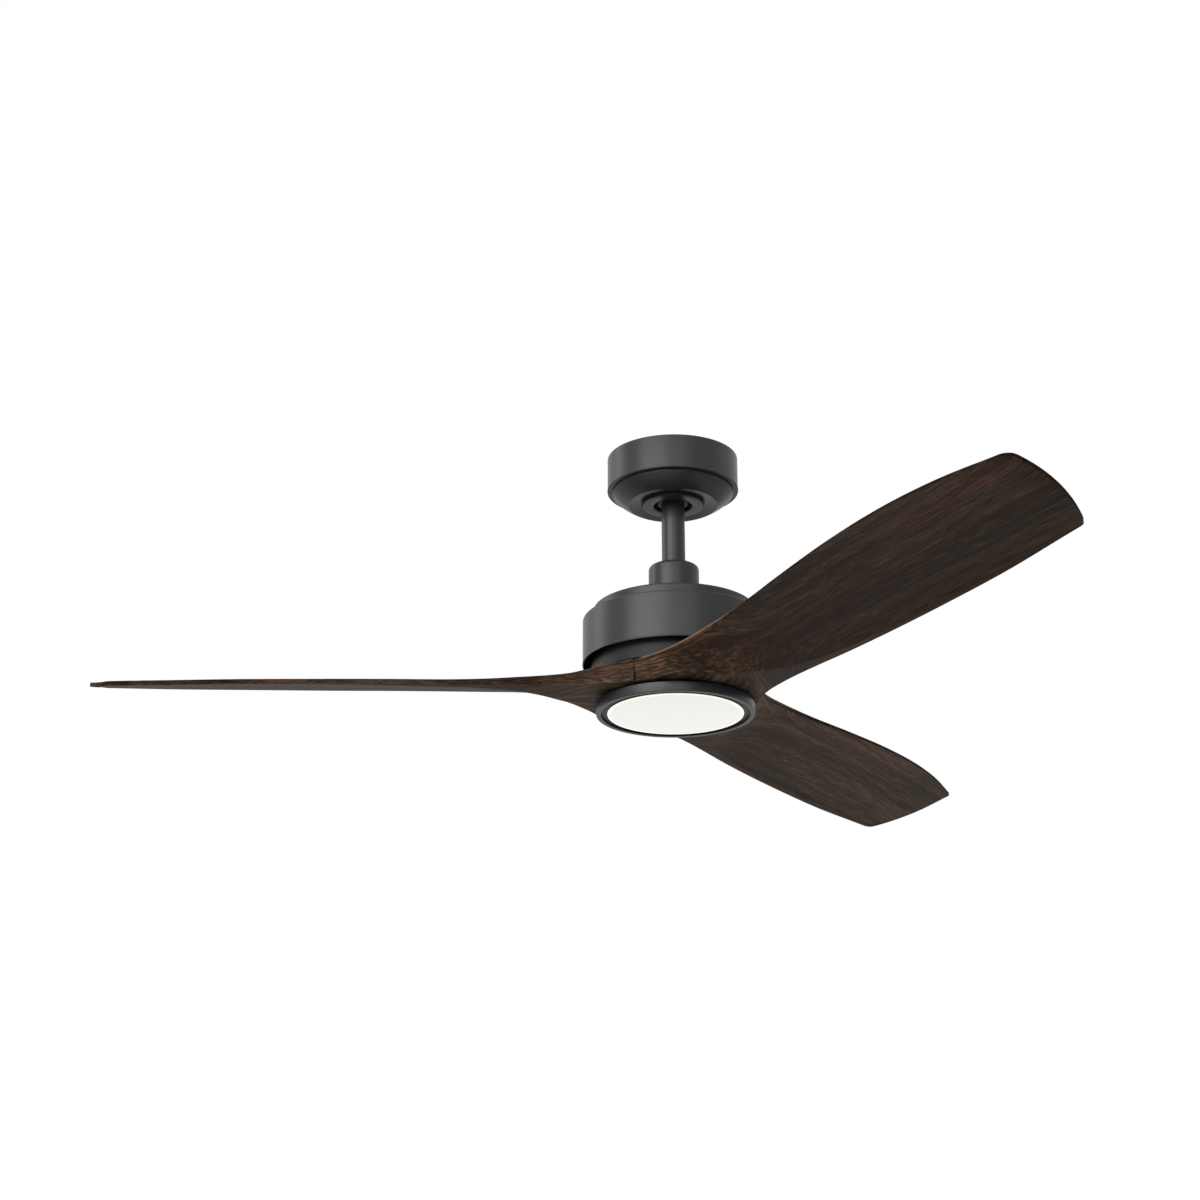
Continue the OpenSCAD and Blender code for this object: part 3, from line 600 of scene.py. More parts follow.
def finish_mesh(
    work: bmesh.types.BMesh, name: str, materials: Sequence[bpy.types.Material],
    sharp_angle: float = 32.0,
) -> bpy.types.Object:
    """Turns a bmesh into a smooth-shaded object at the origin.

    Args:
        work: the bmesh, which is freed.
        name: the object's name.
        materials: its material slots.
        sharp_angle: edges that bend more than this many degrees stay sharp.

    Returns:
        The new object.
    """
    mesh = bpy.data.meshes.new(name)
    work.to_mesh(mesh)
    work.free()
    for polygon in mesh.polygons:
        polygon.use_smooth = True
    mesh.set_sharp_from_angle(angle=math.radians(sharp_angle))
    for material in materials:
        mesh.materials.append(material)
    return add_object(name, mesh)


def spin_outline(corners: Sequence[Corner], steps: int) -> bmesh.types.BMesh:
    """Turns a closed outline into a ring about Z.

    Args:
        corners: (radius, height, rounding) of each corner of the outline.
        steps: how many segments the ring has.

    Returns:
        A new bmesh with the ring.
    """
    work = bmesh.new()
    verts = [work.verts.new((x, 0.0, z)) for x, z in rounded_outline(corners)]
    edges = [work.edges.new((a, b)) for a, b in zip(verts, verts[1:] + verts[:1])]
    bmesh.ops.spin(work, geom=verts + edges, cent=(0, 0, 0), axis=(0, 0, 1),
                   angle=2 * math.pi, steps=steps, use_merge=True)
    bmesh.ops.remove_doubles(work, verts=work.verts, dist=1e-7)
    bmesh.ops.recalc_face_normals(work, faces=work.faces)
    return work


def install(piece: bpy.types.Object, body: Body, node: str) -> None:
    """Lets a piece ride on its body and stand for its node.

    Args:
        piece: the piece.
        body: the body it rides on.
        node: the CAD node it stands for.
    """
    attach(piece, body.value)
    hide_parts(node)
    log.info("%s: %d faces, on %s", piece.name, len(piece.data.polygons), body.value)


def turn_shell(
    name: str, node: str, body: Body, material: bpy.types.Material, corners: Sequence[Corner],
    steps: int = 160,
) -> None:
    """Makes a round metal shell, and installs it.

    Args:
        name: the piece's name.
        node: the CAD node it stands for.
        body: the body it rides on.
        material: its paint.
        corners: (radius, height, rounding) of each corner of its closed outline.
        steps: how many segments it has round the axis.
    """
    piece = finish_mesh(spin_outline(corners, steps), name, [material])
    install(piece, body, node)


def spans(node: str) -> Corner:
    """Reads a round node's outer radius, its lowest and its highest height from the frame."""
    low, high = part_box(node)
    return max(high[0], high[1], -low[0], -low[1]), low[2], high[2]


# ------------------------------------------------------------------ canopy


@dataclass
class Canopy:
    """The canopy at the ceiling: band, dished cover and collar.

    Attributes:
        material: the dark satin paint.
        sheet: thickness of the band's metal.
        flange_inner: inner radius of the flange under the band.
        bead: how far the rolled bead at the band's foot stands out.
        bowl_sheet: thickness of the cover's metal.
        bowl_round: radius of the curve of the cover's side.
        bowl_steps: how many straight pieces that curve has.
        ring_outer: outer radius of the cover's flat ring.
        ring_inner: inner radius of the cover's flat ring.
        collar_outer: outer radius of the collar's foot.
        collar_inner: radius of the opening for the downrod.
    """

    material: bpy.types.Material
    sheet: float = 1.5 * MM
    flange_inner: float = 60.0 * MM
    bead: float = 0.35 * MM
    bowl_sheet: float = 1.2 * MM
    bowl_round: float = 60.0 * MM
    bowl_steps: int = 18
    ring_outer: float = 51.2 * MM
    ring_inner: float = 36.2 * MM
    collar_outer: float = 35.2 * MM
    collar_inner: float = 22.2 * MM

    def band(self) -> None:
        """Makes the straight band with its flange and bead."""
        r, low, high = spans("canopy")
        wall = r - self.bead
        inside, floor = wall - self.sheet, low + self.sheet
        turn_shell("canopy_band", "canopy", Body.CEILING, self.material, [
            (wall, high, 0.7 * MM), (wall, low + 2.1 * MM, 0.5 * MM),
            (r, low + 1.7 * MM, 0.25 * MM), (r, low, 0.7 * MM),
            (self.flange_inner, low, 0.3 * MM), (self.flange_inner, floor, 0.3 * MM),
            (inside, floor, 0.8 * MM), (inside, high, 0.5 * MM)])

    def cover(self) -> None:
        """Makes the dished cover with its flat ring."""
        r, low, high = spans("canopy_cover")
        top = Vector((r, high - 2.5 * MM))
        foot = Vector((self.ring_outer, low))
        line = foot - top
        rise = math.sqrt((self.bowl_round / line.length) ** 2 - 0.25)
        centre = (top + foot) / 2 + Vector((line.y, -line.x)) * rise

        def bowl(radius: float, start: Vector, end: Vector) -> list[Corner]:
            """Points along the bowl's side at a radius about its centre."""
            a, b = (math.atan2(p.y - centre.y, p.x - centre.x) for p in (start, end))
            turns = [a + (b - a) * i / self.bowl_steps for i in range(self.bowl_steps + 1)]
            return [(centre.x + radius * math.cos(t), centre.y + radius * math.sin(t), 0.0)
                    for t in turns]

        turn_shell("canopy_bowl", "canopy_cover", Body.CEILING, self.material, [
            (r, high, 0.0), *bowl(self.bowl_round, top, foot)[:-1], (foot.x, foot.y, 0.7 * MM),
            (self.ring_inner, low + 2.8 * MM, 0.6 * MM),
            (self.ring_inner, low + 4.2 * MM, 0.3 * MM),
            (self.ring_outer - 0.5 * MM, low + 1.5 * MM, 0.0),
            *bowl(self.bowl_round - self.bowl_sheet, foot, top), (r - self.bowl_sheet, high, 0.0)])

    def collar(self) -> None:
        """Makes the short collar round the opening."""
        r, low, high = spans("canopy_collar")
        turn_shell("canopy_rod_collar", "canopy_collar", Body.CEILING, self.material, [
            (self.collar_outer, high - 1.4 * MM, 0.0), (self.collar_outer, low, 1.2 * MM),
            (self.collar_inner, low, 1.2 * MM), (self.collar_inner, high, 0.4 * MM),
            (r, high, 0.4 * MM), (r, high - 1.3 * MM, 0.0)])

    def build(self) -> None:
        """Builds all three pieces."""
        self.band()
        self.cover()
        self.collar()


# ------------------------------------------------------------------ rod and housings


@dataclass
class HungShells:
    """The shells that hang below the canopy: downrod, yoke cover and motor housing.

    Attributes:
        material: the dark satin paint.
        rod_wall: wall thickness of the downrod.
        sheet: thickness of the housings' metal.
        cup_hole: radius of the hole in the top of the yoke cover.
        drum_hole: radius of the hole in the top of the housing.
        crown_r: outer radius of the housing's raised step.
        step: height of the raised step.
        lip: height of the rolled lip at the housing's foot.
        lip_out: how far that lip stands out.
    """

    material: bpy.types.Material
    rod_wall: float = 1.95 * MM
    sheet: float = 1.5 * MM
    cup_hole: float = 13.75 * MM
    drum_hole: float = 20.4 * MM
    crown_r: float = 92.0 * MM
    step: float = 13.1 * MM
    lip: float = 1.6 * MM
    lip_out: float = 0.4 * MM

    def rod(self) -> None:
        """Makes the downrod."""
        r, low, high = spans("downrod")
        inner = r - self.rod_wall
        turn_shell("downrod_tube", "downrod", Body.HUNG, self.material, [
            (r, high, 0.4 * MM), (r, low, 0.4 * MM), (inner, low, 0.3 * MM),
            (inner, high, 0.3 * MM)], steps=96)

    def yoke_cover(self) -> None:
        """Makes the cup over the coupling, with its well rounded shoulder."""
        r, low, high = spans("yoke_cover")
        inner, ceiling = r - self.sheet, high - self.sheet
        turn_shell("coupling_cup", "yoke_cover", Body.HUNG, self.material, [
            (r, low, 0.3 * MM), (r, high, 5.0 * MM), (self.cup_hole, high, 0.5 * MM),
            (self.cup_hole, ceiling, 0.3 * MM), (inner, ceiling, 3.5 * MM),
            (inner, low, 0.3 * MM)], steps=128)

    def housing(self) -> None:
        """Makes the drum with its raised step, shoulder and rolled lip."""
        r, low, high = spans("motor_housing")
        wall, inner = r - self.lip_out, r - self.sheet
        shoulder, ceiling = high - self.step, high - self.sheet
        crown, inside = self.crown_r, self.crown_r - self.sheet
        turn_shell("motor_drum", "motor_housing", Body.HUNG, self.material, [
            (self.drum_hole, high, 0.4 * MM), (crown, high, 2.2 * MM), (crown, shoulder, 0.8 * MM),
            (wall, shoulder, 1.6 * MM), (wall, low + self.lip + 0.5 * MM, 0.4 * MM),
            (r, low + self.lip, 0.3 * MM), (r, low, 0.6 * MM), (inner, low, 0.3 * MM),
            (inner, shoulder - self.sheet, 0.8 * MM), (inside, shoulder - self.sheet, 0.6 * MM),
            (inside, ceiling, 1.2 * MM), (self.drum_hole, ceiling, 0.3 * MM)], steps=200)

    def build(self) -> None:
        """Builds all the shells."""
        self.rod()
        self.yoke_cover()
        self.housing()


# ------------------------------------------------------------------ blades


@dataclass(frozen=True)
class Curve:
    """A smooth line through a few (distance, value) points, level past its ends.

    Attributes:
        points: the points, in millimetres.
    """

    points: tuple[Point, ...]

    def slope(self, index: int) -> float:
        """Slope of the line at a point, from its neighbours."""
        a = self.points[max(index - 1, 0)]
        b = self.points[min(index + 1, len(self.points) - 1)]
        return (b[1] - a[1]) / (b[0] - a[0])

    def at(self, s: float) -> float:
        """Reads the line.

        Args:
            s: the distance.

        Returns:
            The value there.
        """
        points = self.points
        if s <= points[0][0]:
            return points[0][1]
        for index in range(len(points) - 1):
            (x0, y0), (x1, y1) = points[index], points[index + 1]
            if s <= x1:
                width = x1 - x0
                u = (s - x0) / width
                v = 1.0 - u
                return (
                    v * v * (1 + 2 * u) * y0 + u * u * (3 - 2 * u) * y1
                    + width * u * v * (v * self.slope(index) - u * self.slope(index + 1))
                )
        return points[-1][1]


def share(value: float, span: Point) -> float:
    """How far a value lies along a span: 0 at its start and 1 at its end."""
    return (value - span[0]) / (span[1] - span[0])


def ease(u: float) -> float:
    """Runs smoothly from 0 to 1."""
    v = min(max(u, 0.0), 1.0)
    return v * v * (3.0 - 2.0 * v)


@dataclass(frozen=True)
class Row:
    """One line across a blade.

    Attributes:
        lead: where it meets the leading edge, in plan.
        trail: where it meets the trailing edge, in plan.
        s: the distance at which heights are read.
        bow: how far its middle bows outwards.
    """

    lead: Vector
    trail: Vector
    s: float
    bow: float = 0.0


@dataclass(frozen=True)
class BladeShape:
    """The carved form of a blade that points along +X, in millimetres.

    Attributes:
        hub_x: distance of the seam's outer end along the blade.
        hub_y: distance of the seam's outer end across the blade.
        bore: radius of the hole in the middle of the hub.
        seam: half the width of the seam between two blades.
        hub_top: height of the hub's top face.
        hub_bottom: height of the hub's underside.
        lead_edge: plan of the leading (high) edge.
        trail_edge: plan of the trailing (low) edge.
        flat_width: width of the flat underside, from its crease to the trailing edge.
        lead_top: height of the top of the leading edge.
        trail_bottom: height of the underside at the trailing edge.
        trail_thickness: thickness at the trailing edge.
        camber: how far the blade is arched upwards across its middle.
        edge_thickness: thickness at the leading edge.
        seat_r: radius of the flat seat for the motor's flange.
        seat_slope: how steeply the top may rise outside that seat.
        last_s: where the straight rows end and the rounded tip begins.
        tip_s: the distance at which the tip's heights are read.
        skew: how far the tip leans back at the trailing edge.
        skew_span: where the rows begin to lean back, and where they lean in full.
        tip_bow: how far the tip's end bows outwards.
        lead_round: rounding of the tip's leading corner.
        lead_turn: the angles at which that rounding begins and ends.
        trail_round: rounding of the tip's trailing corner.
        trail_turn: the angles at which that rounding begins and ends.
        strip: the least width that the mesh gives to the flat strip.
        even_span: where the columns begin to even out, and where they are even.
        highlight_reach: how far from the arris the painted highlight reaches.
        highlight_span: where the painted highlight begins to fade, and where it is gone.
        highlight_start: how far from the hub's wall the painted highlight starts.
        hub_inset: how far the hub's last row lies inside the hub's wall, along and across.
    """

    hub_x: float = 46.35
    hub_y: float = 79.47
    bore: float = 36.0
    seam: float = 0.4
    hub_top: float = -270.0
    hub_bottom: float = -295.5
    lead_edge: Curve = Curve((
        (46.35, -79.47), (67, -69.8), (106, -60), (136, -55), (170, -52.4), (232, -55),
        (313, -62.3), (404, -68.6), (495, -69.8), (576, -64.6), (650, -52.9)))
    trail_edge: Curve = Curve((
        (46.35, 79.47), (58, 74), (72, 70.5), (98, 66.2), (140, 64.4), (190, 66.5),
        (240, 69.6), (320, 71.8), (404, 71.8), (495, 69.6), (590, 62.5), (628, 59.4)))
    flat_width: Curve = Curve((
        (46.35, 158.94), (60, 140), (83, 123), (98, 96), (118, 66), (130, 54), (150, 36),
        (172, 24), (216, 14), (260, 10), (320, 6), (410, 2.5), (650, 1.4)))
    lead_top: Curve = Curve((
        (60, -269.8), (100, -267.6), (162, -261.5), (232, -259.2), (404, -253.8), (495, -252),
        (576, -252.3), (650, -254)))
    trail_bottom: Curve = Curve(((130, -295.5), (320, -294.4), (495, -292.8), (650, -290.8)))
    trail_thickness: Curve = Curve((
        (50, 25.7), (86, 20), (101, 17.2), (116, 14.2), (162, 10.3), (232, 5.9), (313, 5.4),
        (650, 5.2)))
    camber: Curve = Curve(((250, 0), (420, 1.2), (560, 1.0), (650, 0)))
    edge_thickness: Curve = Curve(((60, 5.2), (200, 4.99), (330, 3.38), (650, 3.22)))
    seat_r: float = 94.3
    seat_slope: float = 1.2
    last_s: float = 649.6
    tip_s: float = 650.0
    skew: float = 27.2
    skew_span: Point = (520.0, 640.0)
    tip_bow: float = 11.0
    lead_round: float = 11.0
    lead_turn: Point = (9.0, 86.0)
    trail_round: float = 14.0
    trail_turn: Point = (6.0, 53.0)
    strip: float = 10.0
    even_span: Point = (560.0, 640.0)
    highlight_reach: float = 2.6
    highlight_span: Point = (185.0, 245.0)
    highlight_start: float = 8.0
    hub_inset: Point = (0.6, 1.0)

    def long_row(self, s: float) -> Row:
        """Row that starts at a distance s on the leading edge."""
        t = s - self.skew * ease(share(s, self.skew_span))
        return Row(Vector((s, self.lead_edge.at(s))), Vector((t, self.trail_edge.at(t))), s)

    def tip_row(self, u: float) -> Row:
        """Row on the rounded tip, from u = 0 at its start to u = 1 at the very end."""
        last = self.long_row(self.last_s)

        def lead(angle: float) -> Vector:
            """Point of the leading corner's arc, from the arc's centre."""
            a = math.radians(angle)
            return self.lead_round * Vector((math.sin(a), -math.cos(a)))

        def trail(angle: float) -> Vector:
            """Point of the trailing corner's arc, from the arc's centre."""
            b = math.radians(angle)
            return self.trail_round * Vector((math.sin(b), math.cos(b)))

        (a0, a1), (b0, b1) = self.lead_turn, self.trail_turn
        return Row(last.lead - lead(a0) + lead(a0 + (a1 - a0) * u),
                   last.trail - trail(b0) + trail(b0 + (b1 - b0) * u),
                   self.tip_s, self.tip_bow * ease(u))

    def rows(self, long_rows: int, tip_rows: int) -> list[Row]:
        """Lists the rows from the hub to the tip.

        Args:
            long_rows: how many rows the straight part has.
            tip_rows: how many rows sweep round the tip.

        Returns:
            The rows.
        """
        rows = []
        for k in range(long_rows + 1):
            # The rows lie closer together near the hub.
            u = k / long_rows * (0.35 + 0.65 * k / long_rows)
            rows.append(self.long_row(self.hub_x + (self.last_s - self.hub_x) * u))
        return rows + [self.tip_row(k / tip_rows) for k in range(1, tip_rows + 1)]

    def carved_point(self, row: Row, u: float, upper: bool) -> Vector:
        """Finds a point of the carved surface.

        Args:
            row: the row it is on.
            u: 0 at the leading edge, 1 at the crease and 2 at the trailing edge. Where the
                flat strip is narrow, 1 is a little way outside it. Near the tip the points
                are evenly spaced, so that the blade's end wall stands upright.
            upper: True for the top face, False for the underside.

        Returns:
            The point, in millimetres.
        """
        width = (row.trail - row.lead).length
        flat = min(1.0, self.flat_width.at(row.s) / width)
        strip = max(flat, min(1.0, self.strip / width))
        split = strip if upper else 1.0 - strip
        v = split * u if u < 1.0 else split + (1.0 - split) * (u - 1.0)
        v += (u / 2 - v) * ease(share(row.s, self.even_span))
        low = self.trail_bottom.at(row.s)
        high = self.lead_top.at(row.s)
        plan = row.lead.lerp(row.trail, v)
        swell = 4 * v * (1 - v)
        x, y = plan.x + row.bow * swell, plan.y
        if upper:
            end = low + self.trail_thickness.at(row.s)
            z = high + (end - high) * max(0.0, v - flat) / max(1e-6, 1.0 - flat)
            outside = max(0.0, math.hypot(x, y) - self.seat_r)
            z = min(z, self.hub_top + self.seat_slope * outside)
        else:
            start = high - self.edge_thickness.at(row.s)
            z = start + (low - start) * min(1.0, v / max(1e-6, 1.0 - flat))
        return Vector((x, y, z + self.camber.at(row.s) * swell))

    def arris_highlight(self, point: Vector) -> float:
        """Tells where the painted highlight lies: 1 on the top arris of the leading edge, near the
        hub.

        It falls evenly away from the arris and goes below 0, so that the mesh carries it as a
        straight line and the material cuts it off sharply.

        Args:
            point: a point of the blade, in millimetres.

        Returns:
            The painted highlight.
        """
        away = math.hypot(point.y - self.lead_edge.at(point.x),
                          point.z - self.lead_top.at(point.x))
        past = max(0.0, share(point.x, self.highlight_span))
        before = max(0.0, self.hub_x + self.highlight_start - point.x)
        return 1.0 - away / self.highlight_reach - past - before

    def hub_point(self, depth: float, v: float, upper: bool) -> Vector:
        """Finds a point of the flat hub.

        Args:
            depth: 0 at the bore and 1 just inside the hub's wall.
            v: 0 at one seam and 1 at the other.
            upper: True for the top face, False for the underside.

        Returns:
            The point, in millimetres.
        """
        half = math.radians(60.0) - math.asin(self.seam / self.bore)
        angle = -half + 2 * half * v
        y = self.hub_y - self.hub_inset[1]
        bore = Vector((self.bore * math.cos(angle), self.bore * math.sin(angle)))
        wall = Vector((self.hub_x - self.hub_inset[0], -y + 2 * y * v))
        plan = bore.lerp(wall, depth)
        return Vector((plan.x, plan.y, self.hub_top if upper else self.hub_bottom))


@dataclass
class BladeSet:
    """The three carved wooden blades, which meet in the hub below the motor.

    Attributes:
        shape: the carved form.
        long_rows: rows of the mesh along the straight part.
        tip_rows: rows round the tip.
        hub_rows: rows across the flat hub.
        columns: columns on each side of the crease.
        firm_rows: rows at the root and at the tip where the creases stay as they are.
        edge_round: rounding of the blade's edges.
        seam_round: rounding of the edges at the seams and the bore.
        lighting_tones: how light the faces and the edges of each blade are made. This is painted
            light:
        each blade meets the lamps and the camera at its own angle, and gets its own light and
        sheen.
    """

    shape: BladeShape = field(default_factory=BladeShape)
    long_rows: int = 120
    tip_rows: int = 9
    hub_rows: int = 5
    columns: int = 15
    firm_rows: tuple[int, int] = (16, 12)
    edge_round: float = 0.5 * MM
    seam_round: float = 0.35 * MM
    lighting_tones: tuple[tuple[float, float], ...] = ((1.03, 1.13), (0.87, 0.92), (1.24, 1.0))

    def surface_point(self, rows: Sequence[Row], i: int, j: int, upper: bool) -> Vector:
        """Finds where a vertex of the grid goes.

        Args:
            rows: the carved rows.
            i: the vertex's row, counted from the bore.
            j: the vertex's column, counted from the leading edge.
            upper: True for the top face.

        Returns:
            The point, in metres.
        """
        if i < self.hub_rows:
            v = j / (2 * self.columns)
            return self.shape.hub_point(i / (self.hub_rows - 1), v, upper) * MM
        return self.shape.carved_point(rows[i - self.hub_rows], j / self.columns, upper) * MM

    def carve(self, name: str, azimuth: float, materials: Sequence[bpy.types.Material]
              ) -> bpy.types.Object:
        """Carves one blade.

        Args:
            name: the object's name.
            azimuth: the blade's direction in degrees.
            materials: the wood of the faces, and a darker copy for the edges that paints shade on
                them.

        Returns:
            The blade.
        """
        rows = self.shape.rows(self.long_rows, self.tip_rows)
        count_i, count_j = self.hub_rows + len(rows) - 1, 2 * self.columns
        work = bmesh.new()
        bmesh.ops.create_grid(work, x_segments=count_i, y_segments=count_j, size=1.0)
        lower = set(work.verts)
        bmesh.ops.extrude_face_region(work, geom=list(work.faces))
        place = {v: (round((v.co.x + 1) / 2 * count_i), round((v.co.y + 1) / 2 * count_j))
                 for v in work.verts}
        # The side faces take the second, darker wood, which is painted shade.
        sides = {f for f in work.faces if 0 < sum(v in lower for v in f.verts) < len(f.verts)}
        for face in sides:
            face.material_index = 1
        for vert, (i, j) in place.items():
            vert.co = self.surface_point(rows, i, j, vert not in lower)
        self.soften_creases(work, place)
        rims = [e for e in work.edges if sum(f in sides for f in e.link_faces) == 1]
        outer = {e for e in rims if all(place[v][0] >= self.hub_rows for v in e.verts)}
        inner = [e for e in rims if e not in outer]
        for edges, offset in ((list(outer), self.edge_round), (inner, self.seam_round)):
            bmesh.ops.bevel(work, geom=[e for e in edges if e.is_valid], offset=offset,
                            offset_type="OFFSET", segments=3, profile=0.5, affect="EDGES",
                            material=-1, clamp_overlap=True)
        # Each vertex stores the painted highlight along the leading arris.
        layer = work.verts.layers.float.new("painted_arris_highlight")
        for vert in work.verts:
            vert[layer] = self.shape.arris_highlight(vert.co / MM)
        bmesh.ops.dissolve_degenerate(work, edges=work.edges, dist=1e-6)
        bmesh.ops.rotate(work, verts=work.verts, cent=(0, 0, 0),
                         matrix=Matrix.Rotation(math.radians(azimuth), 3, "Z"))
        bmesh.ops.recalc_face_normals(work, faces=work.faces)
        return finish_mesh(work, name, materials, sharp_angle=38.0)

    def soften_creases(self, work: bmesh.types.BMesh,
                       place: dict[bmesh.types.BMVert, tuple[int, int]]) -> None:
        """Rounds the crease of each face a little, where it lies away from the seams.

        Args:
            work: the blade's bmesh.
            place: the row and column of each vertex.
        """
        first = self.hub_rows + self.firm_rows[0]
        last = self.hub_rows + self.long_rows - self.firm_rows[1]
        for reach in (2, 1, 1):
            near = [v for v, (i, j) in place.items()
                    if first < i < last and abs(j - self.columns) <= reach]
            bmesh.ops.smooth_vert(work, verts=near, factor=0.5, use_axis_z=True,
                                  use_axis_x=False, use_axis_y=False)

    def build(self, azimuths: dict[str, float]) -> None:
        """Builds the blades.

        Args:
            azimuths: the direction of each blade in degrees, by its CAD node.
        """
        for index, (node, azimuth) in enumerate(azimuths.items()):
            shift = (0.37 * index, 0.021 * index - 0.01, 0.008 * index)
            # Painted light: each blade's wood is lightened or darkened for the light and sheen its
            # angle gets.
            face_lighting, edge_lighting = self.lighting_tones[index]
            face = WoodFinish(f"walnut_face_{index + 1}", azimuth, shift, face_lighting)
            # The edges get a darker, sheenless copy of the walnut, lighter again round the hub. It
            # is painted shade for the shade on the edge faces, and at the tip it also stands for
            # darker end grain.
            edge = WoodFinish(
                f"walnut_shaded_edge_{index + 1}", azimuth, shift, edge_lighting,
                dark=(0.0078, 0.0050, 0.0034), middle=(0.0185, 0.0110, 0.0072),
                light=(0.042, 0.025, 0.0165), hub_lift=2.0, specular=0.015,
                weave=(2.5, 0.15, 1.3))
            blade = self.carve(f"carved_{node}", azimuth, [face.build(), edge.build()])
            install(blade, Body.ROTOR, node)


# ------------------------------------------------------------------ lamp


@dataclass
class Lamp:
    """The lamp's ring and its opal lens, with a groove between them that is darkened by painted
    shade.

    Attributes:
        material: the ring's paint.
        opening: radius of the ring's opening.
        wall_inner: inner radius of the ring's wall.
        lip: thickness of the lip that holds the lens.
        plate: radius of the lens's lit plate, which hangs in the opening.
        flange: thickness of the lens's flange, which lies on the lip.
        lit_rim: height of the plate's rounded rim, above which its side is painted black as painted
            shade.
    """

    material: bpy.types.Material
    opening: float = 83.2 * MM
    wall_inner: float = 86.2 * MM
    lip: float = 2.1 * MM
    plate: float = 76.2 * MM
    flange: float = 1.3 * MM
    lit_rim: float = 0.8 * MM

    def ring(self) -> None:
        """Makes the ring."""
        r, low, high = spans("lamp_ring")
        seat = low + self.lip
        turn_shell("lamp_trim_ring", "lamp_ring", Body.LENS, self.material, [
            (r, high, 1.0 * MM), (r, low, 0.6 * MM), (self.opening, low, 0.4 * MM),
            (self.opening, seat, 0.2 * MM), (self.wall_inner, seat, 0.5 * MM),
            (self.wall_inner, high, 0.4 * MM)], steps=200)

    def lens(self) -> None:
        """Makes the lens: a lit plate with a rounded rim, and a side and flange painted black as
        painted shade.
        """
        r, low, high = spans("lamp_lens")
        seat = high - self.flange
        work = spin_outline([
            (0.0, low, 0.0), (self.plate, low, 0.9 * MM), (self.plate, seat, 0.1 * MM),
            (r, seat, 0.2 * MM), (r, high, 0.3 * MM), (0.0, high, 0.0)], steps=200)
        bmesh.ops.dissolve_degenerate(work, edges=work.edges, dist=1e-7)
        # The side and the flange are painted near-black, as painted shade in the groove.
        for face in work.faces:
            if face.calc_center_median().z > low + self.lit_rim and face.normal.z < 0.5:
                face.material_index = 1
        materials = [OpalFinish("opal_diffuser", self.plate).build(), GROOVE_SHADE_PAINT.build()]
        install(finish_mesh(work, "opal_lens_disc", materials), Body.LENS,
                "lamp_lens")

    def build(self) -> None:
        """Builds the ring and the lens."""
        self.ring()
        self.lens()


# ------------------------------------------------------------------ carried-over nodes


def dress_nodes(replaced: Iterable[str]) -> None:
    """Gives every CAD node that stays its finish, by its material slot.

    Args:
        replaced: the nodes that other pieces stand for.
    """
    built: dict[str, bpy.types.Material] = {}
    skip = set(replaced)
    for part in frame["record"]["subparts"]:
        node, slot = part["node"], part["material_slot"]
        if node in skip:
            continue
        if slot not in built:
            built[slot] = FINISHES[slot].build()
        mesh = frame["nodes"][node].data
        mesh.materials.clear()
        mesh.materials.append(built[slot])
        log.info("%s: %s", node, slot)


# ------------------------------------------------------------------ studio


@dataclass
class SoftBox:
    """A rectangular studio lamp that faces the fan.

    Attributes:
        name: the lamp's name.
        bearing: its direction from the fan, in degrees from the front towards the right.
        height: its direction above the horizon, in degrees.
        size: its width and height.
        power: its power in watts.
        distance: how far from its target it stands.
        target: the point that it faces.
    """

    name: str
    bearing: float
    height: float
    size: Point
    power: float
    distance: float = 3.2
    target: Corner = (0.0, 0.0, -0.2)

    def build(self) -> None:
        """Adds the lamp to the scene."""
        lamp = bpy.data.lights.new(self.name, "AREA")
        lamp.shape = "RECTANGLE"
        lamp.size, lamp.size_y = self.size
        lamp.energy = self.power
        across, up = math.radians(self.bearing), math.radians(self.height)
        out = Vector((math.sin(across) * math.cos(up), -math.cos(across) * math.cos(up),
                      math.sin(up)))
        item = add_object(self.name, lamp)
        item.location = Vector(self.target) + out * self.distance
        item.rotation_euler = (-out).to_track_quat("-Z", "Y").to_euler()
        item.visible_camera = False


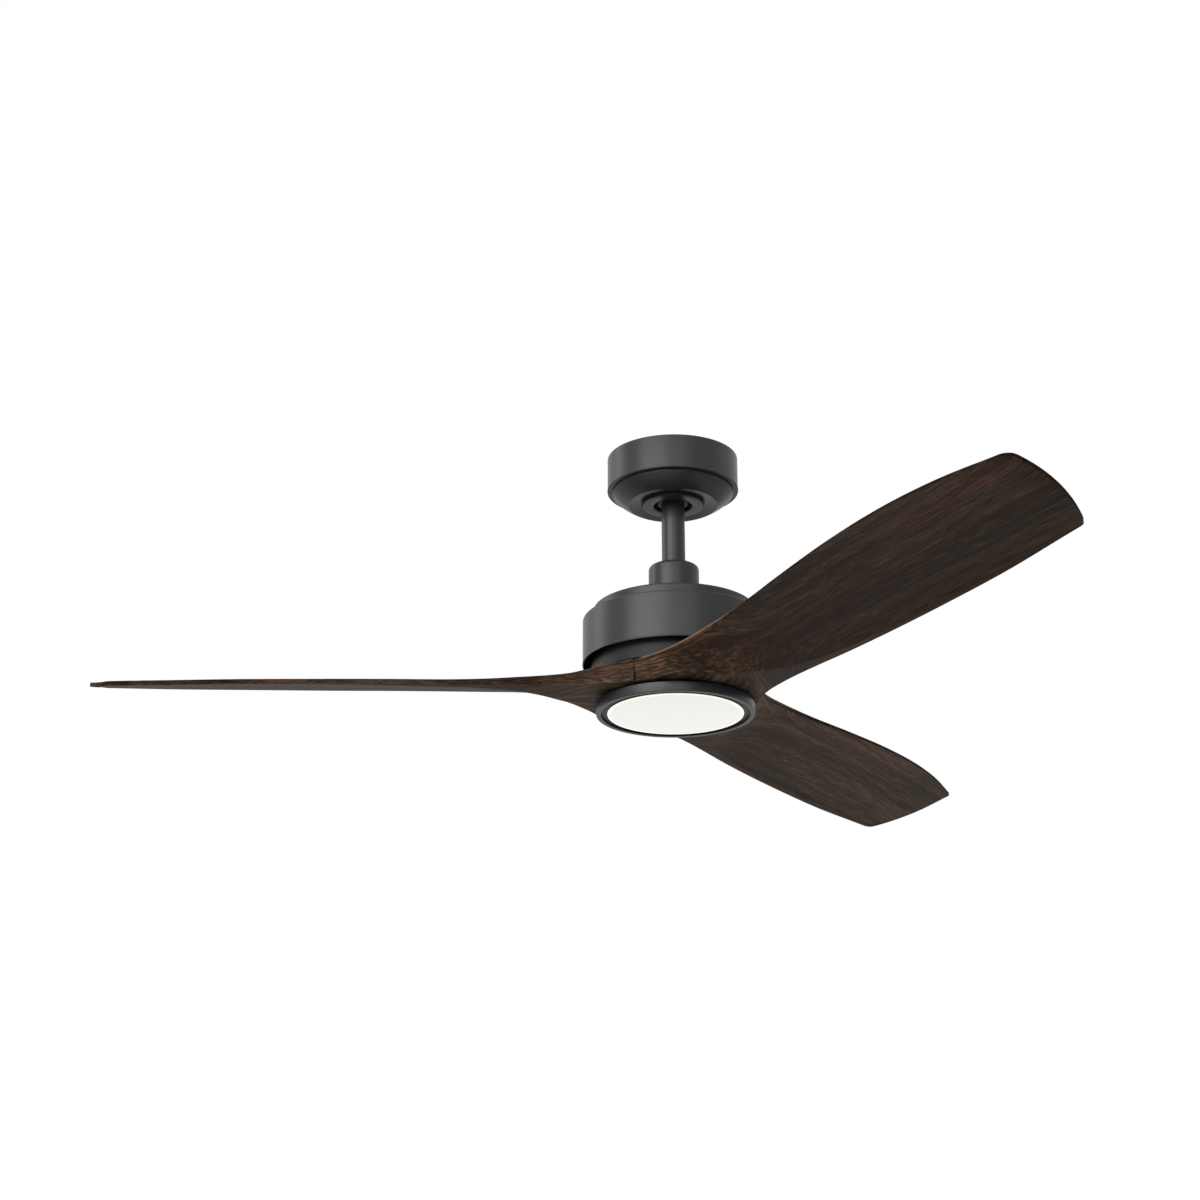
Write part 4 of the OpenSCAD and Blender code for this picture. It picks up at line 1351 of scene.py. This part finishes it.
@dataclass
class Studio:
    """The camera, the pale floor, the lamps and the white surroundings.

    Attributes:
        camera_place: where the camera stands.
        camera_pitch: how far it looks up, in degrees.
        lens: its focal length in millimetres.
        sensor: the width of its sensor in millimetres.
        shift: its shift to the side and upwards.
        floor_z: height of the floor.
        ambient: strength of the even light from all round.
    """

    camera_place: Corner = (-0.08928, -2.48027, -1.07882)
    camera_pitch: float = 21.086
    lens: float = 69.82
    sensor: float = 36.0
    shift: Point = (0.0038, -0.0352)
    floor_z: float = -3.2
    ambient: float = 0.55

    def camera(self) -> None:
        """Adds the camera."""
        camera = bpy.data.cameras.new("studio_camera")
        camera.sensor_width = self.sensor
        camera.lens = self.lens
        camera.shift_x, camera.shift_y = self.shift
        camera.clip_end = 200.0
        item = add_object("studio_camera", camera)
        item.location = self.camera_place
        item.rotation_euler = (math.radians(90.0 + self.camera_pitch), 0.0, 0.0)
        bpy.context.scene.camera = item

    def floor(self) -> None:
        """Adds the pale floor."""
        work = bmesh.new()
        bmesh.ops.create_grid(work, x_segments=8, y_segments=8, size=30.0)
        bmesh.ops.translate(work, verts=work.verts, vec=(0.0, 0.0, self.floor_z))
        paint = SkinFinish("pale_floor", (0.80, 0.80, 0.80), 0.7, mottle=0.02, grain=6.0).build()
        sheet = NodeSheet(paint.node_tree)
        glow = sheet.math("MULTIPLY", sheet.rays("Glossy", "Transmission"), 1.0 - self.ambient)
        sheet.dress(paint.node_tree.nodes["Principled BSDF"], Emission_Color=(1.0, 1.0, 1.0),
                    Emission_Strength=glow)
        finish_mesh(work, "studio_floor", [paint])

    def surroundings(self) -> None:
        """Makes the world white to the eye and to reflections, and even and softer as light."""
        world = bpy.data.worlds.new("white_studio")
        bpy.context.scene.world = world
        world.use_nodes = True
        sheet = NodeSheet(world.node_tree)
        seen = sheet.rays("Camera", "Glossy", "Transmission")
        strength = sheet.math("ADD", self.ambient, sheet.math("MULTIPLY", seen, 1.0 - self.ambient))
        sheet.dress(world.node_tree.nodes["Background"], Color=(1.0, 1.0, 1.0), Strength=strength)

    def lamps(self) -> None:
        """Adds the soft boxes."""
        for box in (
            SoftBox("key_softbox", -35.5, 21.0, (2.6, 1.6), 113.0),
            SoftBox("front_softbox", 8.0, 21.0, (1.8, 1.6), 28.0),
            SoftBox("left_softbox", -110.0, 20.0, (0.9, 1.6), 16.0),
            SoftBox("right_softbox", 92.0, 20.0, (1.2, 1.6), 2.5),
        ):
            box.build()

    def build(self) -> None:
        """Builds the studio."""
        self.camera()
        self.floor()
        self.surroundings()
        self.lamps()
        bpy.context.scene.view_settings.view_transform = "Standard"


BLADE_AZIMUTHS = {"blade_left": 178.8, "blade_near": 298.8, "blade_far": 58.8}


def main() -> None:
    """Builds the studio, the fan's pieces and their finishes."""
    Studio().build()
    graphite = GRAPHITE.build()
    Canopy(graphite).build()
    HungShells(graphite).build()
    BladeSet().build(BLADE_AZIMUTHS)
    Lamp(graphite).build()
    dress_nodes(["canopy", "canopy_cover", "canopy_collar", "downrod", "yoke_cover",
                 "motor_housing", "lamp_ring", "lamp_lens", *BLADE_AZIMUTHS])


if __name__ == "__main__":
    logging.basicConfig(level=logging.INFO, format="%(message)s")
    main()
